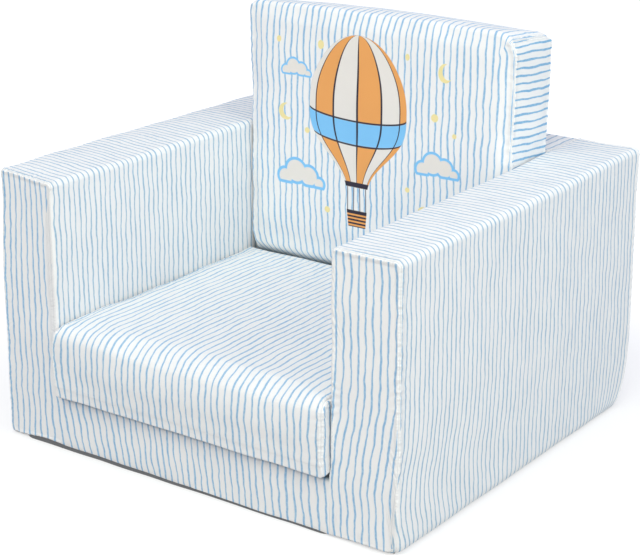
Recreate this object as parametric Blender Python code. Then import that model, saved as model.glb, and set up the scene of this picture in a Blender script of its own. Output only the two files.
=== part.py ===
"""Child's foam armchair with a seat that flips out onto the floor to make a lounger.

Metres. The chair stands on z = 0, faces -Y, and is centred on x = 0 and on its depth.
Left is -X and right is +X, as seen from the front.
"""
import math

import bmesh
import bpy
import numpy as np

# Overall sizes
WIDTH = 0.520
DEPTH = 0.494
ARM_HEIGHT = 0.302
BACK_HEIGHT = 0.440

# Foam blocks, measured over their cover
ARM_THICKNESS = 0.080
REAR_THICKNESS = 0.068
BACK_THICKNESS = 0.079
SEAT_THICKNESS = 0.0745
SEAT_OVERHANG = 0.008

# Room round the loose parts
GAP = 0.0003
SEAT_SIDE_ROOM = 0.0015
SEAT_REAR_ROOM = 0.006
BACK_SIDE_ROOM = 0.001

# Cloth and its roundings
CLOTH = 0.0018
SEAM_ROLL = 0.006
ARM_EDGE = 0.012
SLAB_EDGE = 0.008
SEAT_FRONT_EDGE = 0.028
SEAT_REAR_EDGE = 0.010
SEAT_LOWER_EDGE = 0.004
BACK_EDGE = 0.011
BACK_REAR_EDGE = 0.007
RISER_EDGE = 0.008
RISER_FOOT = 0.003
CUSHION_ROLL = 0.007

# How far each kind of face swells, or is drawn in where the value is negative
SIDE_SWELL = 0.002
TOP_SWELL = 0.0015
FRONT_SWELL = 0.002
REAR_SWELL = 0.003
SEAT_SWELL = 0.003
SEAT_FRONT_SWELL = 0.003
BACK_FRONT_SWELL = 0.004
BACK_TOP_SWELL = 0.003
GUSSET_SWELL = -0.0015

# Hinge tape
TAPE = 0.0012
TAPE_LAP = 0.012

# Zips
ZIP_TAPE = 0.0008
ZIP_TAPE_WIDTH = 0.022
ZIP_HEIGHT = 0.045
ZIP_END_ROOM = 0.014
SEAT_ZIP_HEIGHT = 0.028
TOOTH_PITCH = 0.006
TOOTH_HEIGHT = 0.0014
TOOTH_ROOT = 0.0006
CHAIN_WIDTH = 0.0045
SLIDER_LENGTH = 0.011
SLIDER_WALL = 0.001
SLIDER_ROOM = 0.0004

# Shares and counts
SEAM_ANGLE = math.radians(45)
SHARP_ANGLE = math.radians(40)
TOOTH_RISE_SHARE = 0.2
TOOTH_TIP_SHARE = 0.35
SLIDER_NOSE_SHARE = 0.62
SLIDER_NOSE_LENGTH_SHARE = 0.3
CAP_RING_SHARES = (0.68, 0.34)
ARC_STEPS = 4
RUN_STEPS = 3
SWEEP_STEPS = 4
SHARPEST = 0.0002
STRAIGHT = math.radians(0.1)

# Worked-out places
UNDER = CLOTH + GAP
HALF = WIDTH / 2 - SIDE_SWELL
INNER = HALF - ARM_THICKNESS
FRONT = -DEPTH / 2 + SEAT_OVERHANG
REAR = DEPTH / 2 - REAR_SWELL
ARM_TOP = ARM_HEIGHT - TOP_SWELL
SLAB_FRONT = REAR - REAR_THICKNESS
BACK_REAR = SLAB_FRONT - GAP
BACK_FRONT = BACK_REAR - BACK_THICKNESS
BASE_TOP = SEAT_THICKNESS + GAP
SEAT_BOTTOM = BASE_TOP + GAP
SEAT_TOP = SEAT_BOTTOM + SEAT_THICKNESS - SEAT_SWELL
SEAT_FRONT = -DEPTH / 2 + SEAT_FRONT_SWELL
SEAT_REAR = BACK_FRONT - SEAT_REAR_ROOM
SEAT_HALF = INNER - SEAT_SIDE_ROOM
RISER_TOP = SEAT_TOP
BACK_BOTTOM = RISER_TOP + GAP
BACK_TOP = BACK_HEIGHT - BACK_TOP_SWELL
BACK_HALF = INNER - BACK_SIDE_ROOM
HINGE_Y = -DEPTH / 2 - GAP
HINGE_Z = BASE_TOP + GAP / 2


def clear_scene():
    """Empties the scene that Blender starts with."""
    for obj in list(bpy.data.objects):
        bpy.data.objects.remove(obj, do_unlink=True)


def finish(name, colour, roughness, metallic=0.0):
    """A plain Principled material."""
    material = bpy.data.materials.new(name)
    material.use_nodes = True
    shader = material.node_tree.nodes["Principled BSDF"]
    shader.inputs["Base Color"].default_value = (*colour, 1.0)
    shader.inputs["Roughness"].default_value = roughness
    shader.inputs["Metallic"].default_value = metallic
    return material


def make_finishes():
    """The chair's materials by name."""
    return {
        "cover": finish("striped_cover", (0.80, 0.87, 0.93), 0.85),
        "front_cover": finish("front_cover", (0.85, 0.87, 0.87), 0.85),
        "printed_cover": finish("printed_cover", (0.80, 0.87, 0.93), 0.85),
        "lining": finish("lining_cloth", (0.82, 0.83, 0.84), 0.9),
        "underside": finish("underside_cloth", (0.16, 0.17, 0.19), 0.8),
        "foam": finish("foam", (0.90, 0.87, 0.74), 0.95),
        "tape": finish("woven_tape", (0.86, 0.88, 0.90), 0.8),
        "teeth": finish("zip_teeth", (0.90, 0.91, 0.92), 0.4),
        "slider": finish("zip_slider", (0.88, 0.89, 0.90), 0.3),
    }


def mesh_object(name, points, faces, material, parent=None, location=None):
    """A closed mesh with its faces turned outwards. A parented piece keeps its world place."""
    mesh = bpy.data.meshes.new(name)
    mesh.from_pydata([tuple(point) for point in points], [], faces)
    shape = bmesh.new()
    shape.from_mesh(mesh)
    bmesh.ops.recalc_face_normals(shape, faces=shape.faces)
    shape.to_mesh(mesh)
    shape.free()
    mesh.shade_smooth()
    mesh.set_sharp_from_angle(angle=SHARP_ANGLE)
    mesh.materials.append(material)
    obj = bpy.data.objects.new(name, mesh)
    bpy.context.scene.collection.objects.link(obj)
    place = np.zeros(3) if location is None else np.array(location)
    if parent is not None:
        obj.parent = parent
        place = place - np.array(parent.location)
    obj.location = place
    return obj


def to_right(direction):
    """The unit vector to the right of a direction in a plane."""
    return np.array((direction[1], -direction[0]))


def rounded_path(corners, radii, inset, closed=False):
    """Points of a path with rounded corners, moved to its right by inset.

    radii has one value a corner, and an open path's two ends aren't corners. A corner that
    turns right loses the inset from its radius, and one that turns left gains it. A corner that
    doesn't turn is one point.
    """
    corners = np.asarray(corners, float)
    count = len(corners)
    ways = [corners[(i + 1) % count] - corners[i] for i in range(count)]
    ways = [way / np.linalg.norm(way) for way in ways]
    pieces = []
    for i, corner in enumerate(corners):
        if not closed and i in (0, count - 1):
            way = ways[0] if i == 0 else ways[count - 2]
            pieces.append([corner + inset * to_right(way)])
            continue
        before = ways[i - 1]
        after = ways[i]
        sides = to_right(before) + to_right(after)
        moved = corner + inset * sides / (1 + to_right(before) @ to_right(after))
        cross = before[0] * after[1] - before[1] * after[0]
        right = -1 if cross > 0 else 1
        turn = math.acos(max(-1.0, min(1.0, before @ after)))
        if turn < STRAIGHT:
            pieces.append([moved])
            continue
        radius = max(radii[i if closed else i - 1] - right * inset, SHARPEST)
        start = moved - before * radius * math.tan(turn / 2)
        centre = start + right * to_right(before) * radius
        arc = []
        for step in range(ARC_STEPS + 1):
            angle = -right * turn * step / ARC_STEPS
            arm = start - centre
            swung = (arm[0] * math.cos(angle) - arm[1] * math.sin(angle),
                     arm[0] * math.sin(angle) + arm[1] * math.cos(angle))
            arc.append(centre + np.array(swung))
        pieces.append(arc)
    points = []
    for i, piece in enumerate(pieces):
        points.extend(piece)
        if closed or i + 1 < len(pieces):
            goal = pieces[(i + 1) % len(pieces)][0]
            for step in range(1, RUN_STEPS):
                points.append(piece[-1] + (goal - piece[-1]) * step / RUN_STEPS)
    return np.array(points)


class Block:
    """A foam block in its cover, swept along one axis.

    low and high are the corners of the cover's outer box, and the section across the axis has
    its four corners rounded by radii, clockwise from the low corner. The cover rolls in by roll
    at both ends. swell gives how far each face bulges at its middle, low face then high face.
    outline replaces the section's four corners where it needs other points.
    """

    def __init__(self, axis, low, high, radii, roll, swell, outline=None):
        self.axis = axis
        self.across = [i for i in range(3) if i != axis]
        self.low = np.array(low, float)
        self.high = np.array(high, float)
        self.radii = radii
        self.roll = roll
        self.swell = swell
        self.outline = outline

    def corners(self):
        """The section's corners, clockwise from the low one."""
        if self.outline is not None:
            return self.outline
        a0, b0 = self.low[self.across]
        a1, b1 = self.high[self.across]
        return [(a0, b0), (a0, b1), (a1, b1), (a1, b0)]

    def placed(self, flat, along):
        """Points of a section at a place along the axis."""
        points = np.empty((len(flat), 3))
        points[:, self.across] = flat
        points[:, self.axis] = along
        return points

    def swelled(self, points):
        """Points moved with the swell, which is full at each face's middle and nothing at edges."""
        centre = (self.low + self.high) / 2
        share = np.clip((points - centre) / ((self.high - self.low) / 2), -1, 1)
        room = 1 - share**2
        moved = np.array(points, float)
        for axis in range(3):
            others = room[..., (axis + 1) % 3] * room[..., (axis + 2) % 3]
            amount = np.where(share[..., axis] > 0, self.swell[axis][1], self.swell[axis][0])
            moved[..., axis] += amount * share[..., axis] * others
        return moved

    def roll_row(self, end, depth, angle):
        """Where a section lies along the axis, and its inset, at an angle round the end's roll."""
        reach = self.roll - depth
        along = self.roll - reach * math.sin(angle)
        inset = self.roll - reach * math.cos(angle)
        if end == 0:
            return self.low[self.axis] + along, inset
        return self.high[self.axis] - along, inset

    def sweep_rows(self, depth, last_angle):
        """(place, inset) of each section from one end's seam to the other's."""
        angles = (last_angle, last_angle / 2, 0.0) if last_angle else (0.0,)
        first = [self.roll_row(0, depth, angle) for angle in angles]
        last = [self.roll_row(1, depth, angle) for angle in reversed(angles)]
        start = first[-1][0]
        stop = last[0][0]
        middle = [(start + (stop - start) * step / SWEEP_STEPS, depth)
                  for step in range(1, SWEEP_STEPS)]
        return first + middle + last


def grid_faces(rows, columns, closed, offset=0):
    """Triangles of a grid of points, joined round where it is closed.

    Every square is split along the same diagonal, so that cloth and foam stay parallel.
    """
    faces = []
    for row in range(rows - 1):
        for i in range(columns if closed else columns - 1):
            here = offset + row * columns + i
            beside = offset + row * columns + (i + 1) % columns
            faces.append((here, beside, beside + columns))
            faces.append((here, beside + columns, here + columns))
    return faces


def shell_between(outer, inner):
    """Points and faces of a sheet between two open grids of points."""
    rows, columns = outer.shape[:2]
    count = rows * columns
    points = np.concatenate([outer.reshape(-1, 3), inner.reshape(-1, 3)])
    faces = grid_faces(rows, columns, False)
    faces += [tuple(reversed(face)) for face in grid_faces(rows, columns, False, count)]
    border = list(range(columns))
    border += [row * columns + columns - 1 for row in range(1, rows)]
    border += [(rows - 1) * columns + i for i in range(columns - 2, -1, -1)]
    border += [row * columns for row in range(rows - 2, 0, -1)]
    for i, point in enumerate(border):
        ahead = border[(i + 1) % len(border)]
        faces.append((ahead, point, point + count, ahead + count))
    return points, faces


def seam_margin(roll, depth):
    """Half the angle that keeps a gap at a seam, measured on the cloth's inner face."""
    return GAP / 2 / (roll - depth)


def strip(name, block, corners, radii, material, parent=None, halved=(False, False)):
    """A length of cover carried round a block's section and along it, between its end seams.

    Where halved says so, the path's end only gives a direction, and the cloth stops at the seam
    in the middle of the corner next to it.
    """
    last = SEAM_ANGLE - seam_margin(block.roll, CLOTH) if block.roll else 0.0
    grids = []
    for depth in (0.0, CLOTH):
        rows = []
        for along, inset in block.sweep_rows(depth, last):
            corner_radii = radii(along) if callable(radii) else radii
            flat = rounded_path(corners, corner_radii, inset)
            to_seam = RUN_STEPS + ARC_STEPS // 2
            first = to_seam if halved[0] else 0
            last_point = len(flat) - (to_seam if halved[1] else 0)
            rows.append(block.placed(flat[first:last_point], along))
        grids.append(block.swelled(np.array(rows)))
    points, faces = shell_between(*grids)
    return mesh_object(name, points, faces, material, parent)


def cap_rings(block, end, depth, first_angle, radii):
    """Closed rings from an end's seam to its flat middle, then that middle's centre point."""
    corners = block.corners()
    rings = []
    for angle in (first_angle, (first_angle + math.pi / 2) / 2, math.pi / 2):
        along, inset = block.roll_row(end, depth, angle)
        flat = rounded_path(corners, radii, inset, closed=True)
        rings.append(block.placed(flat, along))
    flat_ring = rings[-1]
    centre = (flat_ring.min(axis=0) + flat_ring.max(axis=0)) / 2
    for share in CAP_RING_SHARES:
        rings.append(centre + (flat_ring - centre) * share)
    return rings, centre


def fan_faces(ring_start, columns, centre):
    """Triangles from a ring of points to one point."""
    return [(ring_start + i, ring_start + (i + 1) % columns, centre) for i in range(columns)]


def cap(name, block, end, material, parent=None, first_angle=None, radii=None):
    """An end panel of cover, from its seam on the roll to its middle."""
    if first_angle is None:
        first_angle = SEAM_ANGLE + seam_margin(block.roll, CLOTH)
    radii = block.radii if radii is None else radii
    points = []
    faces = []
    starts = []
    for depth in (0.0, CLOTH):
        rings, centre = cap_rings(block, end, depth, first_angle, radii)
        columns = len(rings[0])
        start = len(points)
        starts.append(start)
        points.extend(np.concatenate(rings))
        points.append(centre)
        faces += grid_faces(len(rings), columns, True, start)
        faces += fan_faces(start + (len(rings) - 1) * columns, columns, len(points) - 1)
    for i in range(columns):
        ahead = (i + 1) % columns
        faces.append((starts[0] + i, starts[0] + ahead, starts[1] + ahead, starts[1] + i))
    swelled = block.swelled(np.array(points))
    return mesh_object(name, swelled, faces, material, parent)


def foam(name, cover, material, parent=None, low=None, high=None, radii=None, outline=None):
    """A foam block that fills its cover's box, less the cloth, with its roundings and swell."""
    low = cover.low + UNDER if low is None else low
    high = cover.high - UNDER if high is None else high
    radii = cover.radii if radii is None else radii
    core = Block(cover.axis, low, high, None, cover.roll - UNDER, cover.swell, outline)

    def radii_at(along):
        chosen = radii(along) if callable(radii) else radii
        return [radius - UNDER for radius in chosen]

    end_places = (core.low[core.axis], core.high[core.axis])
    caps = [cap_rings(core, end, 0.0, 0.0, radii_at(end_places[end])) for end in (0, 1)]
    rows = list(reversed(caps[0][0]))
    for along, inset in core.sweep_rows(0.0, 0.0)[1:-1]:
        flat = rounded_path(core.corners(), radii_at(along), inset, closed=True)
        rows.append(core.placed(flat, along))
    rows += caps[1][0]
    columns = len(rows[0])
    points = list(np.concatenate(rows)) + [caps[0][1], caps[1][1]]
    faces = grid_faces(len(rows), columns, True)
    faces += fan_faces(0, columns, len(points) - 2)
    faces += fan_faces((len(rows) - 1) * columns, columns, len(points) - 1)
    return mesh_object(name, cover.swelled(np.array(points)), faces, material, parent)


def mirrored(obj, name):
    """A copy of a piece on the other side of the chair."""
    points = [(-v.co.x, v.co.y, v.co.z) for v in obj.data.vertices]
    faces = [tuple(reversed(polygon.vertices)) for polygon in obj.data.polygons]
    return mesh_object(name, points, faces, obj.data.materials[0], obj.parent,
                       (0.0, 0.0, 0.0))


def box_object(name, low, high, material, parent=None):
    """A plain cloth strip or tape with square edges."""
    low = np.array(low)
    high = np.array(high)
    points = [
        [high[axis] if corner >> axis & 1 else low[axis] for axis in range(3)]
        for corner in range(8)
    ]
    faces = [(0, 1, 3, 2), (4, 6, 7, 5), (0, 4, 5, 1), (2, 3, 7, 6), (0, 2, 6, 4), (1, 5, 7, 3)]
    return mesh_object(name, points, faces, material, parent)


def inner_edge(along):
    """The radius of an arm's inner top edge, which closes up where the rear slab meets it."""
    fade = max(0.0, min(1.0, (along - BACK_FRONT) / BACK_THICKNESS))
    return ARM_EDGE + (SEAM_ROLL - ARM_EDGE) * fade


def make_arms(finishes):
    """Foam, wrapped cover and end panels of both arms, made on the left and mirrored."""
    block = Block(
        1, (-HALF, FRONT, 0.0), (-INNER, REAR, ARM_TOP),
        (SEAM_ROLL, ARM_EDGE, ARM_EDGE, SEAM_ROLL), SEAM_ROLL,
        ((SIDE_SWELL, 0.0), (FRONT_SWELL, FRONT_SWELL), (0.0, TOP_SWELL)),
    )
    pieces = [
        foam(
            "arm_foam_left", block, finishes["foam"],
            radii=lambda along: (SEAM_ROLL, ARM_EDGE, inner_edge(along), SEAM_ROLL),
        ),
        strip(
            "arm_wrap_left", block,
            [(-HALF + SEAM_ROLL, 0.0), (-HALF, 0.0), (-HALF, ARM_TOP), (-INNER, ARM_TOP),
             (-INNER, SEAM_ROLL)],
            lambda along: (SEAM_ROLL, ARM_EDGE, inner_edge(along)),
            finishes["cover"], halved=(True, False),
        ),
        cap("arm_front_left", block, 0, finishes["front_cover"]),
        cap(
            "arm_rear_left", block, 1, finishes["cover"],
            radii=(SEAM_ROLL, ARM_EDGE, SEAM_ROLL, SEAM_ROLL),
        ),
    ]
    for piece in pieces:
        mirrored(piece, piece.name.replace("_left", "_right"))


def make_rear(finishes):
    """The slab behind the back cushion, its cover and the skirt under its zip."""
    zip_top = ZIP_HEIGHT + ZIP_TAPE_WIDTH / 2
    zip_bottom = ZIP_HEIGHT - ZIP_TAPE_WIDTH / 2
    side = INNER - GAP
    block = Block(
        0, (-side, SLAB_FRONT, zip_top), (side, REAR, ARM_TOP),
        (SEAM_ROLL, SLAB_EDGE, SLAB_EDGE, SEAM_ROLL), SEAM_ROLL,
        ((0.0, 0.0), (0.0, REAR_SWELL), (0.0, TOP_SWELL)),
    )
    front = SLAB_FRONT + UNDER
    back = REAR - UNDER
    top = ARM_TOP - UNDER
    foam(
        "rear_foam", block, finishes["foam"],
        low=(-side + UNDER, front, UNDER),
        radii=(SEAM_ROLL, SLAB_EDGE, SLAB_EDGE, UNDER, SEAM_ROLL),
        outline=[(front, UNDER), (front, top), (back, top), (back, zip_top), (back, UNDER)],
    )
    strip(
        "rear_wrap", block,
        [(SLAB_FRONT, SEAM_ROLL), (SLAB_FRONT, ARM_TOP), (REAR, ARM_TOP), (REAR, zip_top)],
        (SLAB_EDGE, SLAB_EDGE), finishes["cover"],
    )
    strip(
        "rear_skirt", block,
        [(REAR, zip_bottom), (REAR, 0.0), (REAR - SEAM_ROLL, 0.0)],
        (SEAM_ROLL,), finishes["cover"], halved=(False, True),
    )
    tape_half = side - SEAM_ROLL / 2
    make_zip("rear_zip", REAR, ZIP_HEIGHT, tape_half, finishes)


def make_base(finishes):
    """Foam under the seat, the riser behind it, their lining, the front panel and hinge tape."""
    side = INNER - GAP
    block = Block(
        1, (-side, FRONT, 0.0), (side, SLAB_FRONT, BASE_TOP),
        (SEAM_ROLL,) * 4, SEAM_ROLL,
        ((0.0, 0.0), (FRONT_SWELL, 0.0), (0.0, 0.0)),
    )
    foam(
        "base_foam", block, finishes["foam"],
        high=(side - UNDER, SLAB_FRONT - GAP, BASE_TOP - UNDER),
    )
    cap("base_front_panel", block, 0, finishes["front_cover"])
    riser = Block(
        0, (-side, BACK_FRONT, BASE_TOP - UNDER), (side, SLAB_FRONT, RISER_TOP),
        (SEAM_ROLL, RISER_EDGE, SEAM_ROLL, SEAM_ROLL), SEAM_ROLL, ((0.0, 0.0),) * 3,
    )
    foam(
        "riser_foam", riser, finishes["foam"],
        low=(-side, BACK_FRONT + UNDER, BASE_TOP - CLOTH),
        high=(side, SLAB_FRONT - GAP, RISER_TOP - UNDER),
    )
    tape_rear = FRONT + TAPE_LAP
    flat_ended = Block(0, riser.low, riser.high, riser.radii, 0.0, riser.swell)
    strip(
        "base_lining", flat_ended,
        [(tape_rear + GAP, BASE_TOP), (BACK_FRONT, BASE_TOP),
         (BACK_FRONT, RISER_TOP), (SLAB_FRONT - GAP, RISER_TOP)],
        (RISER_FOOT, RISER_EDGE), finishes["lining"],
    )
    box_object(
        "hinge_tape", (-SEAT_HALF, HINGE_Y + GAP, BASE_TOP - TAPE),
        (SEAT_HALF, tape_rear, BASE_TOP), finishes["tape"],
    )


def make_bottom(finishes):
    """The non-slip sheet under the whole chair, with its edge curled up to the cover."""
    block = Block(
        2, (-HALF, FRONT, 0.0), (HALF, REAR, ARM_TOP), (SEAM_ROLL,) * 4, SEAM_ROLL,
        ((0.0, 0.0),) * 3,
    )
    seam = SEAM_ANGLE + 2 * seam_margin(SEAM_ROLL, CLOTH)
    cap("bottom_sheet", block, 0, finishes["underside"], first_angle=seam)


def make_back(finishes):
    """The back cushion: foam, one length of cover round it and two side gussets."""
    block = Block(
        0, (-BACK_HALF, BACK_FRONT, BACK_BOTTOM), (BACK_HALF, BACK_REAR, BACK_TOP),
        (BACK_EDGE, BACK_EDGE, BACK_REAR_EDGE, BACK_REAR_EDGE), CUSHION_ROLL,
        ((GUSSET_SWELL, GUSSET_SWELL), (BACK_FRONT_SWELL, 0.0), (0.0, BACK_TOP_SWELL)),
    )
    foam("back_foam", block, finishes["foam"])
    middle = (BACK_FRONT + BACK_REAR) / 2
    corners = block.corners()
    strip(
        "back_wrap", block,
        [(middle - GAP / 2, BACK_BOTTOM), *corners, (middle + GAP / 2, BACK_BOTTOM)],
        block.radii, finishes["printed_cover"],
    )
    cap("back_side_left", block, 0, finishes["cover"])
    cap("back_side_right", block, 1, finishes["cover"])


def make_seat(finishes):
    """The flip-out seat, hung on an empty that lies on its hinge axis."""
    hinge = bpy.data.objects.new("seat_hinge_axis", None)
    hinge.location = (0.0, HINGE_Y, HINGE_Z)
    bpy.context.scene.collection.objects.link(hinge)
    block = Block(
        0, (-SEAT_HALF, SEAT_FRONT, SEAT_BOTTOM), (SEAT_HALF, SEAT_REAR, SEAT_TOP),
        (SEAT_LOWER_EDGE, SEAT_FRONT_EDGE, SEAT_REAR_EDGE, SEAT_LOWER_EDGE), CUSHION_ROLL,
        ((GUSSET_SWELL, GUSSET_SWELL), (SEAT_FRONT_SWELL, 0.0), (0.0, SEAT_SWELL)),
    )
    foam("seat_foam", block, finishes["foam"], hinge)
    zip_centre = SEAT_BOTTOM + SEAT_ZIP_HEIGHT
    zip_top = zip_centre + ZIP_TAPE_WIDTH / 2
    zip_bottom = zip_centre - ZIP_TAPE_WIDTH / 2
    front_seam = SEAT_BOTTOM + SEAT_LOWER_EDGE + CLOTH
    strip(
        "seat_wrap", block,
        [(SEAT_FRONT, front_seam + GAP), (SEAT_FRONT, SEAT_TOP), (SEAT_REAR, SEAT_TOP),
         (SEAT_REAR, zip_top)],
        (SEAT_FRONT_EDGE, SEAT_REAR_EDGE), finishes["cover"], hinge,
    )
    strip(
        "seat_bottom", block,
        [(SEAT_REAR, zip_bottom), (SEAT_REAR, SEAT_BOTTOM), (SEAT_FRONT, SEAT_BOTTOM),
         (SEAT_FRONT, front_seam)],
        (SEAT_LOWER_EDGE, SEAT_LOWER_EDGE), finishes["lining"], hinge,
    )
    cap("seat_side_left", block, 0, finishes["cover"], hinge)
    cap("seat_side_right", block, 1, finishes["cover"], hinge)
    tape_half = SEAT_HALF - CUSHION_ROLL / 2
    make_zip("seat_zip", SEAT_REAR, zip_centre, tape_half, finishes, hinge)


def make_zip(name, face, height, tape_half, finishes, parent=None):
    """A zip let into a rear face between two lengths of cover: tape, tooth chain and slider."""
    chain_half = tape_half - ZIP_END_ROOM
    tape_face = face - CLOTH + ZIP_TAPE
    half_width = ZIP_TAPE_WIDTH / 2 - GAP
    box_object(
        name + "_tape", (-tape_half, face - CLOTH, height - half_width),
        (tape_half, tape_face, height + half_width), finishes["tape"], parent,
    )
    chain_foot = tape_face + GAP
    outline = [(-chain_half, chain_foot), (chain_half, chain_foot)]
    root = chain_foot + TOOTH_ROOT
    tip = chain_foot + TOOTH_HEIGHT
    teeth = int(2 * chain_half / TOOTH_PITCH)
    pitch = 2 * chain_half / teeth
    for tooth in range(teeth):
        right = chain_half - tooth * pitch
        outline.append((right, root))
        outline.append((right - TOOTH_RISE_SHARE * pitch, tip))
        outline.append((right - (TOOTH_RISE_SHARE + TOOTH_TIP_SHARE) * pitch, tip))
        outline.append((right - (2 * TOOTH_RISE_SHARE + TOOTH_TIP_SHARE) * pitch, root))
    outline.append((-chain_half, root))
    points = [(x, y, height + side * CHAIN_WIDTH / 2) for side in (-1, 1) for x, y in outline]
    count = len(outline)
    faces = [tuple(range(count)), tuple(range(2 * count - 1, count - 1, -1))]
    faces += [(i, (i + 1) % count, count + (i + 1) % count, count + i) for i in range(count)]
    mesh_object(name + "_chain", points, faces, finishes["teeth"], parent)
    make_slider(name, tape_face, tip, height, chain_half, finishes, parent)


def make_slider(name, tape_face, tip, height, chain_half, finishes, parent):
    """The slider: a channel over the chain, drawn in to a nose at its leading end."""
    inner_half = CHAIN_WIDTH / 2 + SLIDER_ROOM
    outer_half = inner_half + SLIDER_WALL
    foot = tape_face + SLIDER_ROOM
    roof = tip + SLIDER_ROOM
    top = roof + SLIDER_WALL
    section = [(-outer_half, foot), (-outer_half, top), (outer_half, top), (outer_half, foot),
               (inner_half, foot), (inner_half, roof), (-inner_half, roof), (-inner_half, foot)]
    nose = SLIDER_LENGTH * SLIDER_NOSE_LENGTH_SHARE
    stations = [(-SLIDER_LENGTH / 2, SLIDER_NOSE_SHARE), (-SLIDER_LENGTH / 2 + nose, 1.0),
                (SLIDER_LENGTH / 2 - nose, 1.0), (SLIDER_LENGTH / 2, SLIDER_NOSE_SHARE)]
    points = []
    for x, share in stations:
        for z, y in section:
            wide = inner_half + SLIDER_WALL * share if abs(z) > inner_half else inner_half
            points.append((x, y - tape_face, math.copysign(wide, z)))
    columns = len(section)
    faces = grid_faces(len(stations), columns, True)
    faces.append(tuple(range(columns)))
    faces.append(tuple(range(len(points) - 1, len(points) - 1 - columns, -1)))
    place = (-chain_half + SLIDER_LENGTH / 2 + GAP, tape_face, height)
    mesh_object(name + "_slider", points, faces, finishes["slider"], parent, place)


def main():
    clear_scene()
    finishes = make_finishes()
    make_bottom(finishes)
    make_arms(finishes)
    make_rear(finishes)
    make_base(finishes)
    make_back(finishes)
    make_seat(finishes)


main()
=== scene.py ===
# %% [markdown]
# # A child's flip-out foam armchair
#
# The chair is seven foam blocks in a sewn, striped cover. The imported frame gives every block's
# place. Each block is dressed here with cloth that is worked out as a surface: an outline with
# round corners is carried along the block, rolls in at both ends, and meets an end panel at a
# seam. The stripes are printed on the cloth, so the material reads a map that follows the cloth
# and not the room.

# %% Load the frame
import math

import bmesh
import bpy
import numpy as np
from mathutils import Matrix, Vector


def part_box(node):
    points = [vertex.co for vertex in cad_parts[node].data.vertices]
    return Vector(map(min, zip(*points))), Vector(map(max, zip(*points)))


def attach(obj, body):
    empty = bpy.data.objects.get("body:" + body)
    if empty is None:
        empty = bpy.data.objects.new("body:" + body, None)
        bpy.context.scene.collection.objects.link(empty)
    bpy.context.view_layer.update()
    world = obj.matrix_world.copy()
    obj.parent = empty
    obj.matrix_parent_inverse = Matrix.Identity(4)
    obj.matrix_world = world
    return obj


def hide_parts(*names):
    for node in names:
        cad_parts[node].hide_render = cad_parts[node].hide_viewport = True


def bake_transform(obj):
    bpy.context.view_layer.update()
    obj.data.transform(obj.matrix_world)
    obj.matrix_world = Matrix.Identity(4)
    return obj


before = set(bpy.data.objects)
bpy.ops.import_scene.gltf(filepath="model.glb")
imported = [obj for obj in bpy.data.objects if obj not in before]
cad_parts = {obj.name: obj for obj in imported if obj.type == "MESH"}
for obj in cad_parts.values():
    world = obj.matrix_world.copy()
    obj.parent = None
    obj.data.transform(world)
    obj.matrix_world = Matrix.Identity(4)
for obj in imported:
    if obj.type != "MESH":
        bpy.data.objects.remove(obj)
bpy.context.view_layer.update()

for spare in ("Cube", "Light", "Camera"):
    if spare in bpy.data.objects:
        bpy.data.objects.remove(bpy.data.objects[spare], do_unlink=True)


def new_object(name, data):
    """A new object in the scene, at the origin."""
    obj = bpy.data.objects.new(name, data)
    bpy.context.scene.collection.objects.link(obj)
    return obj


# %% [markdown]
# ## Places
#
# A cover bulges a little past its block, by the crowns below. The block's own planes are the
# frame's boxes less those crowns, so that every piece stays where the frame has it.

# %% Measure the blocks
SIDE_CROWN = 0.002
TOP_CROWN = 0.0015
FRONT_CROWN = 0.002
REAR_CROWN = 0.003
SEAT_CROWN = 0.003
SEAT_FRONT_CROWN = 0.003
BACK_FRONT_CROWN = 0.004
BACK_TOP_CROWN = 0.003
GUSSET_DRAW = -0.0015
GUSSET_OUT = 0.0021


def low(node):
    """A node's lowest corner."""
    return np.array(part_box(node)[0])


def high(node):
    """A node's highest corner."""
    return np.array(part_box(node)[1])


outer_x = high("arm_wrap_right")[0] - SIDE_CROWN
inner_x = low("arm_wrap_right")[0]
front_y = low("arm_front_right")[1] + FRONT_CROWN
rear_y = high("rear_wrap")[1] - REAR_CROWN
arm_top = high("arm_wrap_right")[2] - TOP_CROWN
slab_y = low("rear_wrap")[1]
seat_x = high("seat_bottom")[0] + GUSSET_OUT
seat_low = low("seat_bottom")[2]
seat_top = high("seat_wrap")[2] - SEAT_CROWN
seat_front = low("seat_wrap")[1] + SEAT_FRONT_CROWN
seat_rear = high("seat_wrap")[1]
back_x = high("back_wrap")[0] + GUSSET_OUT
back_front = low("back_wrap")[1] + BACK_FRONT_CROWN
back_rear = high("back_wrap")[1]
back_top = high("back_wrap")[2] - BACK_TOP_CROWN
base_top = high("hinge_tape")[2]
print("arm", outer_x, inner_x, arm_top, "front", front_y, "rear", rear_y)

# %% [markdown]
# ## The camera
#
# The camera stands to the sitter's left, above the arms. Its place, its turn and its lens were
# fitted to the chair's corners in the photograph, so the frame can be laid over the render.

# %% Place the camera
PHOTO_WIDTH = 640
FOCAL_PIXELS = 1818.8
SENSOR = 36.0
AZIMUTH = math.radians(35.72)
ELEVATION = math.radians(19.01)
CAMERA_PLACE = (1.1112, -1.5529, 0.8255)

camera = new_object("camera", bpy.data.cameras.new("camera"))
camera.data.sensor_width = SENSOR
camera.data.sensor_fit = "HORIZONTAL"
camera.data.lens = FOCAL_PIXELS * SENSOR / PHOTO_WIDTH
camera.location = CAMERA_PLACE
camera.rotation_euler = (math.pi / 2 - ELEVATION, 0.0, AZIMUTH)
bpy.context.scene.camera = camera
print("lens", round(camera.data.lens, 1), "mm")

# %% [markdown]
# ## Shader nodes in short words
#
# A material and a world are both graphs of nodes. The helpers below add a node in one line and
# join whatever is passed to it. A number that the shader works out takes plain arithmetic, so the
# stripes and the picture further down read as formulas.

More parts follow.
